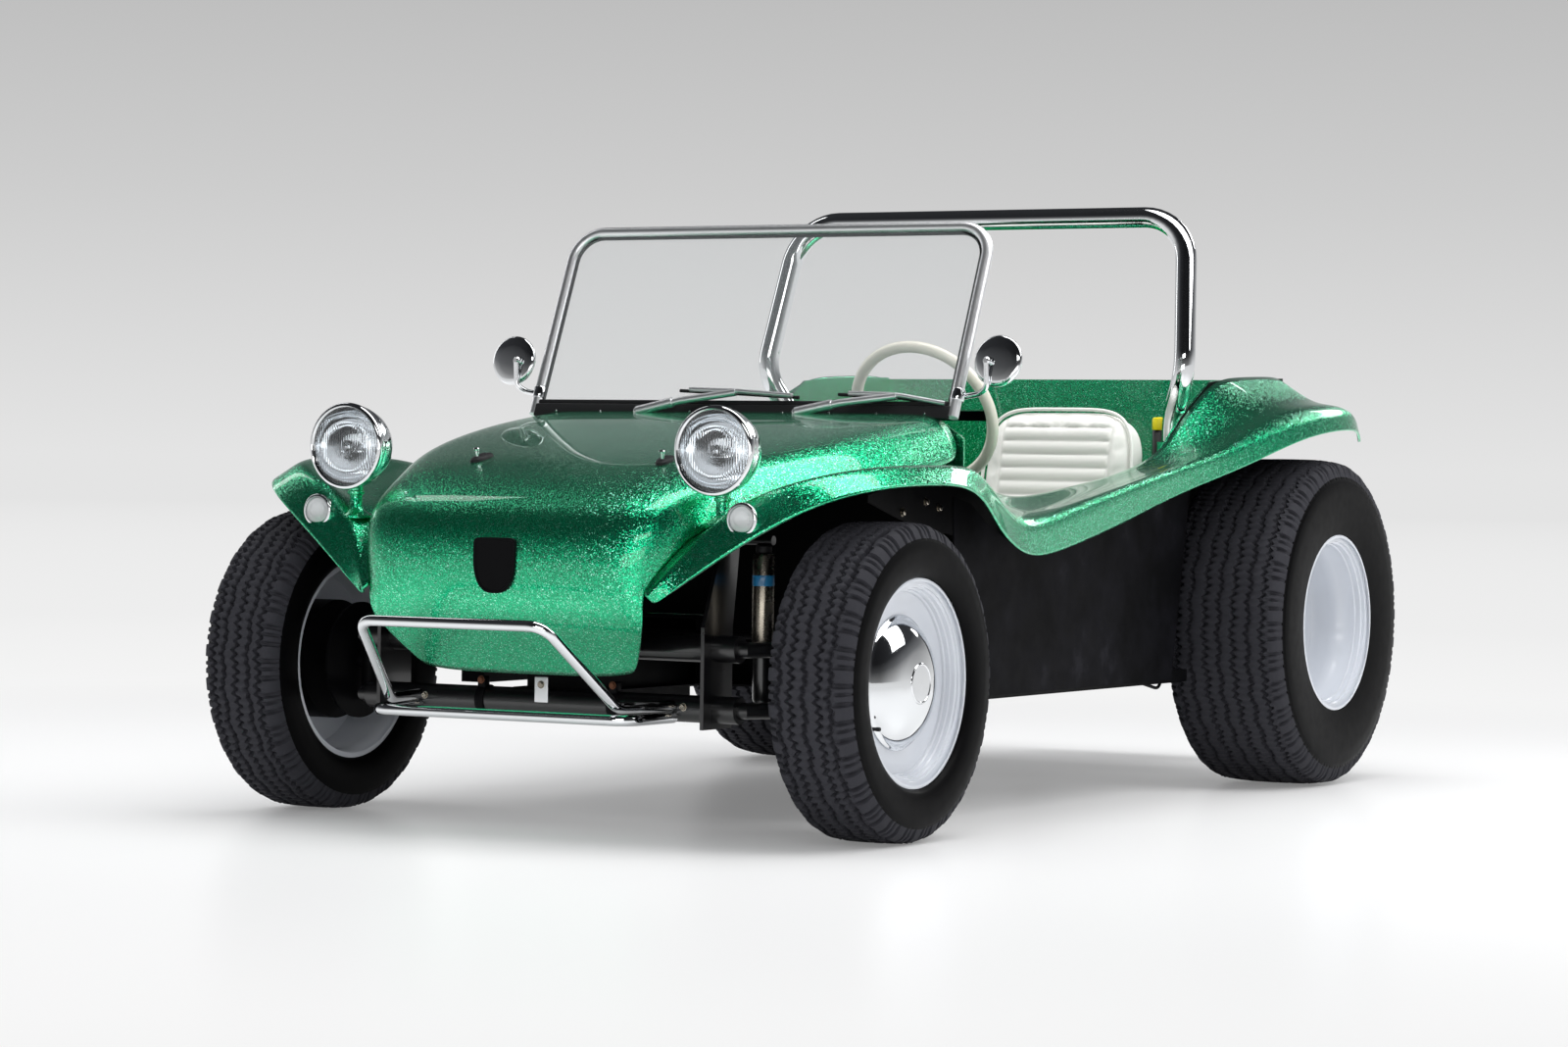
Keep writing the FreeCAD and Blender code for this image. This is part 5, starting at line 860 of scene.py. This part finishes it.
for label, hand in SIDES:
    x, seat = SEAT_X * hand, "seat_" + label
    back_place = at((x, 0.333, 0.36)) @ Matrix.Rotation(math.radians(79.3), 4, "X") @ at((0, 0.270, -0.001))
    pad("seat_back_pad_" + label, "seat_back_piping_" + label, seat, back_place, 0.262, 0.100, 5, 6, 0.018)
    pad("seat_cushion_" + label, "seat_cushion_piping_" + label, seat, at((x, 0.160, 0.494)), 0.184, 0.125,
        7, 4.5, 0.03)
    block("seat_stand_" + label, at((x, 0.165, 0.327)), (0.27, 0.33, 0.088), 0.008, satin_black,
          "pan_black", seat)

# Mirrors: shallow chrome heads on bent rods that are clamped to the windshield frame.
MIRROR_X, MIRROR_Y, MIRROR_Z = 0.606, -0.455, 0.964
ROD_X, HEAD = MIRROR_X - 0.018, (chrome, "chrome", "mirrors")
for label, hand in SIDES:
    lathe("mirror_head_" + label, [
        (-11, 0), (-11, 49), (-9, 50), (-9, 53), (-6, 55), (-2, 55), (1, 52.5), (3, 46), (4.4, 32),
        (5.2, 16), (5.4, 0)], standing_on((MIRROR_X * hand, MIRROR_Y, MIRROR_Z), (0, -1, 0.16)), *HEAD, 72)
    tube("mirror_rod_" + label, [
        (ROD_X * hand, MIRROR_Y - 0.016, MIRROR_Z - 0.004),
        (ROD_X * hand, MIRROR_Y - 0.012, MIRROR_Z - 0.058),
        ((MIRROR_X - 0.040) * hand, MIRROR_Y - 0.005, MIRROR_Z - 0.070), (0.530 * hand, -0.460, 0.888)],
        0.024, 0.0062, *HEAD, 20)
    lathe("mirror_ball_" + label, [(-9, 0), (-9, 5), (-6, 8), (0, 9.4), (6, 8), (9, 5), (9, 0)],
          standing_on((ROD_X * hand, MIRROR_Y - 0.012, MIRROR_Z), (0, -1, 0)), *HEAD, 24)
    lathe("mirror_clamp_" + label, [(-13, 0), (-13, 14), (-11, 15), (11, 15), (13, 14), (13, 0)],
          standing_on((0.523 * hand, -0.4725, 0.890), (0, 0.393, 0.92)), *HEAD, 24)

# Tail lamps: round red moulded lenses with rings, in bright bezels screwed to the rear wall.
# Red moulded lens plastic
red_lens = finish_of("red_moulded_lens", "#a01010", (0.1, 0.2, 20), Coat_Weight=0.5)
for label, hand in SIDES:
    place = standing_on((0.440 * hand, 1.1975, 0.885), (0, 1, 0))
    lathe("tail_bezel_" + label, [
        (0, 0), (0, 42), (4, 42), (8, 40), (12, 38.5), (13, 36), (11, 35), (8, 35), (8, 0)],
        place, chrome, "chrome", "tail_lamps", 64)
    lathe("tail_lens_" + label, [
        (9, 0), (9, 35), (14, 34.6), (18, 32), (19.6, 30), (21, 29.6), (23.5, 26), (25, 25.6), (27.5, 21),
        (29, 20.6), (31, 14), (32.5, 8), (33, 0)], place, red_lens, "red_lens", "tail_lamps", 64)

# Engine: an air-cooled four in cast alloy, with finned iron barrels under finned heads and pressed
# black covers, and a belt pulley at the back.
ENGINE_Y, CRANK_Z, BARREL_BACK = 1.315, 0.385, 0.0625
HEAD_X, HEAD_WIDE, HEAD_LONG, HEAD_TALL, FIN_PITCH = 0.267, 0.0820, 0.2394, 0.1300, 0.0236
# Sand-cast alloy, and grey cast iron
cast_alloy = finish_of("cast_alloy", "#8f9092", (0.35, 0.55, 50), Metallic=1.0)
cast_iron = finish_of("cast_iron_barrel", "#4b4846", (0.5, 0.7, 70), Metallic=0.9)


def casting(name, spot, span, radius, segments=3):
    """A rounded block of cast alloy on the engine."""
    block(name, at(spot), span, radius, cast_alloy, "engine_alloy", "engine", segments)


casting("crankcase_casting", (0, ENGINE_Y, CRANK_Z), (0.238, 0.298, 0.258), 0.022)
for step in range(4):
    casting("crankcase_rib_%d" % (step + 1), (0, ENGINE_Y - 0.105 + 0.07 * step, CRANK_Z),
            (0.246, 0.008, 0.246), 0.003, 1)
fins = [(0, 0), (0, 44)]
for along in range(6, 136, 10):
    fins += [(along, 44), (along, 52), (along + 3, 52), (along + 3, 44)]
for label, hand in SIDES:
    for number, back in ((1, -BARREL_BACK), (2, BARREL_BACK)):
        lathe("barrel_%s_%d" % (label, number), fins + [(136, 44), (136, 0)],
              standing_on((0.117 * hand, ENGINE_Y + back, CRANK_Z), (hand, 0, 0)), cast_iron, "engine_alloy",
              "engine", 40)
    for step in range(6):
        casting("head_fin_%s_%d" % (label, step + 1),
                (HEAD_X * hand, ENGINE_Y, CRANK_Z - 0.059 + FIN_PITCH * step), (HEAD_WIDE, HEAD_LONG, 0.005),
                0.0015, 1)
    casting("head_casting_" + label, (HEAD_X * hand, ENGINE_Y, CRANK_Z),
            (HEAD_WIDE * 0.8, HEAD_LONG * 0.94, HEAD_TALL * 0.94), 0.008)
    block("rocker_cover_" + label, at((0.3035 * hand, ENGINE_Y, CRANK_Z - 0.005)),
          (0.022, HEAD_LONG * 0.86, HEAD_TALL * 0.62), 0.010, gloss_black, "pan_black", "engine")
lathe("crank_pulley_wheel", [
    (0, 0), (0, 60), (1, 75), (3, 75), (8, 64), (13, 75), (15, 75), (15, 66), (9, 58), (9, 20), (15, 18),
    (15, 0)], standing_on((0, 1.4648, CRANK_Z), (0, 1, 0)), satin_black, "pan_black", "engine", 64)

# Fan housing: black pressed steel with a wide foot over the barrels; the generator stands in front of it
# and turns the fan by a belt from the crank pulley.
FAN_Z, PULLEY_Z, SHROUD_Y, BELT_Y = 0.690, 0.695, 1.2585, 1.4735
PRESSING, TURNING = (gloss_black, "black_trim", "fan_shroud"), (satin_black, "black_trim", "fan_shroud")
lathe("fan_drum", [
    (-59, 0), (-59, 150), (-56, 162), (-50, 170), (-40, 174.5), (38, 174.5), (50, 170), (57, 160), (60, 148),
    (60, 96), (56, 90), (56, 60), (62, 54), (62, 0)],
    standing_on((0, SHROUD_Y, FAN_Z), (0, 1, 0)), *PRESSING, 96)
block("fan_duct", at((0, SHROUD_Y, 0.570)), (0.556, 0.118, 0.108), 0.034, *PRESSING, 6)
block("fan_throat", at((0, SHROUD_Y, 0.640)), (0.330, 0.112, 0.120), 0.050, *PRESSING, 6)
lathe("generator_body", [
    (60, 0), (60, 44), (64, 47), (70, 48), (74, 46.5), (150, 46.5), (154, 48), (160, 48), (170, 44),
    (186, 40), (190, 30), (200, 26), (204, 12), (204, 0)],
    standing_on((0, SHROUD_Y, PULLEY_Z), (0, 1, 0)), *TURNING, 64)
lathe("fan_pulley_wheel", [
    (0, 0), (0, 40), (1, 56), (3, 56), (10, 47), (17, 56), (19, 56), (20, 40), (14, 34), (14, 14), (19, 12),
    (19, 0)], standing_on((0, 1.4645, PULLEY_Z), (0, 1, 0)), *TURNING, 64)
lathe("carburettor_body", [
    (0, 0), (0, 30), (6, 30), (7, 22), (24, 22), (26, 32), (54, 33), (58, 30), (62, 26), (84, 26), (86, 33),
    (116, 33), (119, 30), (119, 0)], at((0, 1.403, 0.517)), cast_alloy, "engine_alloy", "fan_shroud")
belt = [Vector((radius * math.cos(turn), BELT_Y, z + radius * math.sin(turn)))
        for radius, z, start in ((0.052, PULLEY_Z, 0), (0.070, CRANK_Z, math.pi))
        for turn in (start + math.pi * step / 16 for step in range(17))]
tube_along("fan_belt", belt + belt[:1], 0.0055, trim_black, "fan_shroud", 12, None)

# Exhaust: a black steel silencer across the back with rolled ends, two headers, and a plain outlet.
SILENCER_Y, SILENCER_Z, HEADER_X = 1.5273, 0.258, 0.262
across = standing_on((0, SILENCER_Y, SILENCER_Z), (1, 0, 0))
end = [(2, 60.4), (290, 60.4), (292, 61.8), (300, 61), (306, 57), (310, 46), (310, 0)]
PIPE = (satin_black, "pan_black", "exhaust")
lathe("silencer_can", [(-along, radius) for along, radius in end[::-1]] + [(0, 61.4)] + end, across,
      *PIPE, 64)
lathe("outlet_pipe", [
    (306, 0), (306, 20), (399, 20), (400, 19.4), (400, 17.8), (399, 17.4), (330, 17.4), (330, 0)],
    across, *PIPE)
for label, hand in SIDES:
    port_y = ENGINE_Y + BARREL_BACK
    tube("header_pipe_" + label, [(HEADER_X * hand, port_y, 0.318), (HEADER_X * hand, port_y + 0.020, 0.262),
                                  (HEADER_X * hand, SILENCER_Y - 0.030, 0.255)],
         0.03, 0.019, *PIPE, 24)

# Beam fittings: clamp bands and rusted bolts round the lower beam tube, a plated bracket in the middle,
# and the bolts that hold the bumper's feet.
BEAM_Y, BEAM_Z = -1.220, 0.256
BOLT_HEAD = [(-4, 0), (-4, 8), (1, 8), (1.2, 6.2), (5, 6), (6, 5), (6.2, 0)]
# Bare steel gone brown with rust
rusted = finish_of("rusted_bolt_steel", "#6f4630", (0.5, 0.75, 200), Metallic=0.5)


def bolt(name, spot, material):
    """A bolt head that faces ahead."""
    lathe(name, BOLT_HEAD, standing_on(spot, (0, -1, 0)), material, "brushed", steps=24)


for label, x in (("right", -0.157), ("left", 0.157)):
    lathe("beam_band_" + label, [(-10, 0), (-10, 29.4), (-9, 30), (9, 30), (10, 29.4), (10, 0)],
          standing_on((x, BEAM_Y, BEAM_Z), (1, 0, 0)), satin_black, "pan_black", steps=64)
    block("beam_band_ear_" + label, at((x, BEAM_Y - 0.010, BEAM_Z + 0.036)), (0.018, 0.020, 0.024), 0.003,
          satin_black, "pan_black")
    bolt("beam_band_bolt_" + label, (x, BEAM_Y - 0.019, BEAM_Z + 0.040), rusted)
for label, hand in SIDES:
    for step, x in enumerate((0.290, 0.326)):
        bolt("bumper_foot_bolt_%s_%d" % (label, step + 1), (x * hand, BEAM_Y - 0.0268, BEAM_Z + 0.004),
             plated)
block("beam_bracket", at((-0.006, BEAM_Y - 0.0275, BEAM_Z + 0.026)), (0.032, 0.004, 0.052), 0.0015,
      satin_alloy, "brushed")
bolt("beam_bracket_bolt", (-0.006, BEAM_Y - 0.029, BEAM_Z + 0.036), plated)

# Pieces shown as the CAD has them: the pan, axles, knuckles, drums and column in black enamel, the beam
# glossier, the controls plated, the windshield of clear glass, and the side panels scuffed in pale clouds.
clear_glass = finish_of("laminated_glass", "#e9eef1", (0.0, 0.01, 5), Metallic=0.4, Alpha=0.13)
scuffed_black = finish_of("scuffed_black_sheet", "#ffffff", (0.42, 0.66, 18), Specular_IOR_Level=0.05)
tree = scuffed_black.node_tree
clouds = node(tree, "ShaderNodeTexNoise", {
    "Vector": own_place(tree), "Scale": 7.0, "Detail": 8.0, "Roughness": 0.62})
feed(tree.nodes["Principled BSDF"], {"Base Color": ramp_of(
    tree, clouds.outputs["Fac"], [(0.38, "#08080a"), (0.58, "#121216"), (0.72, "#26262b")])})
CAD_FINISHES = {"side_panel": scuffed_black, "windshield_glass": clear_glass, "front_beam": gloss_black,
                "controls": chrome}
for name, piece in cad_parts.items():
    kind = [kind for kind in CAD_FINISHES if name.startswith(kind)]
    for slot in piece.material_slots:
        slot.material = CAD_FINISHES[kind[0]] if kind else satin_black
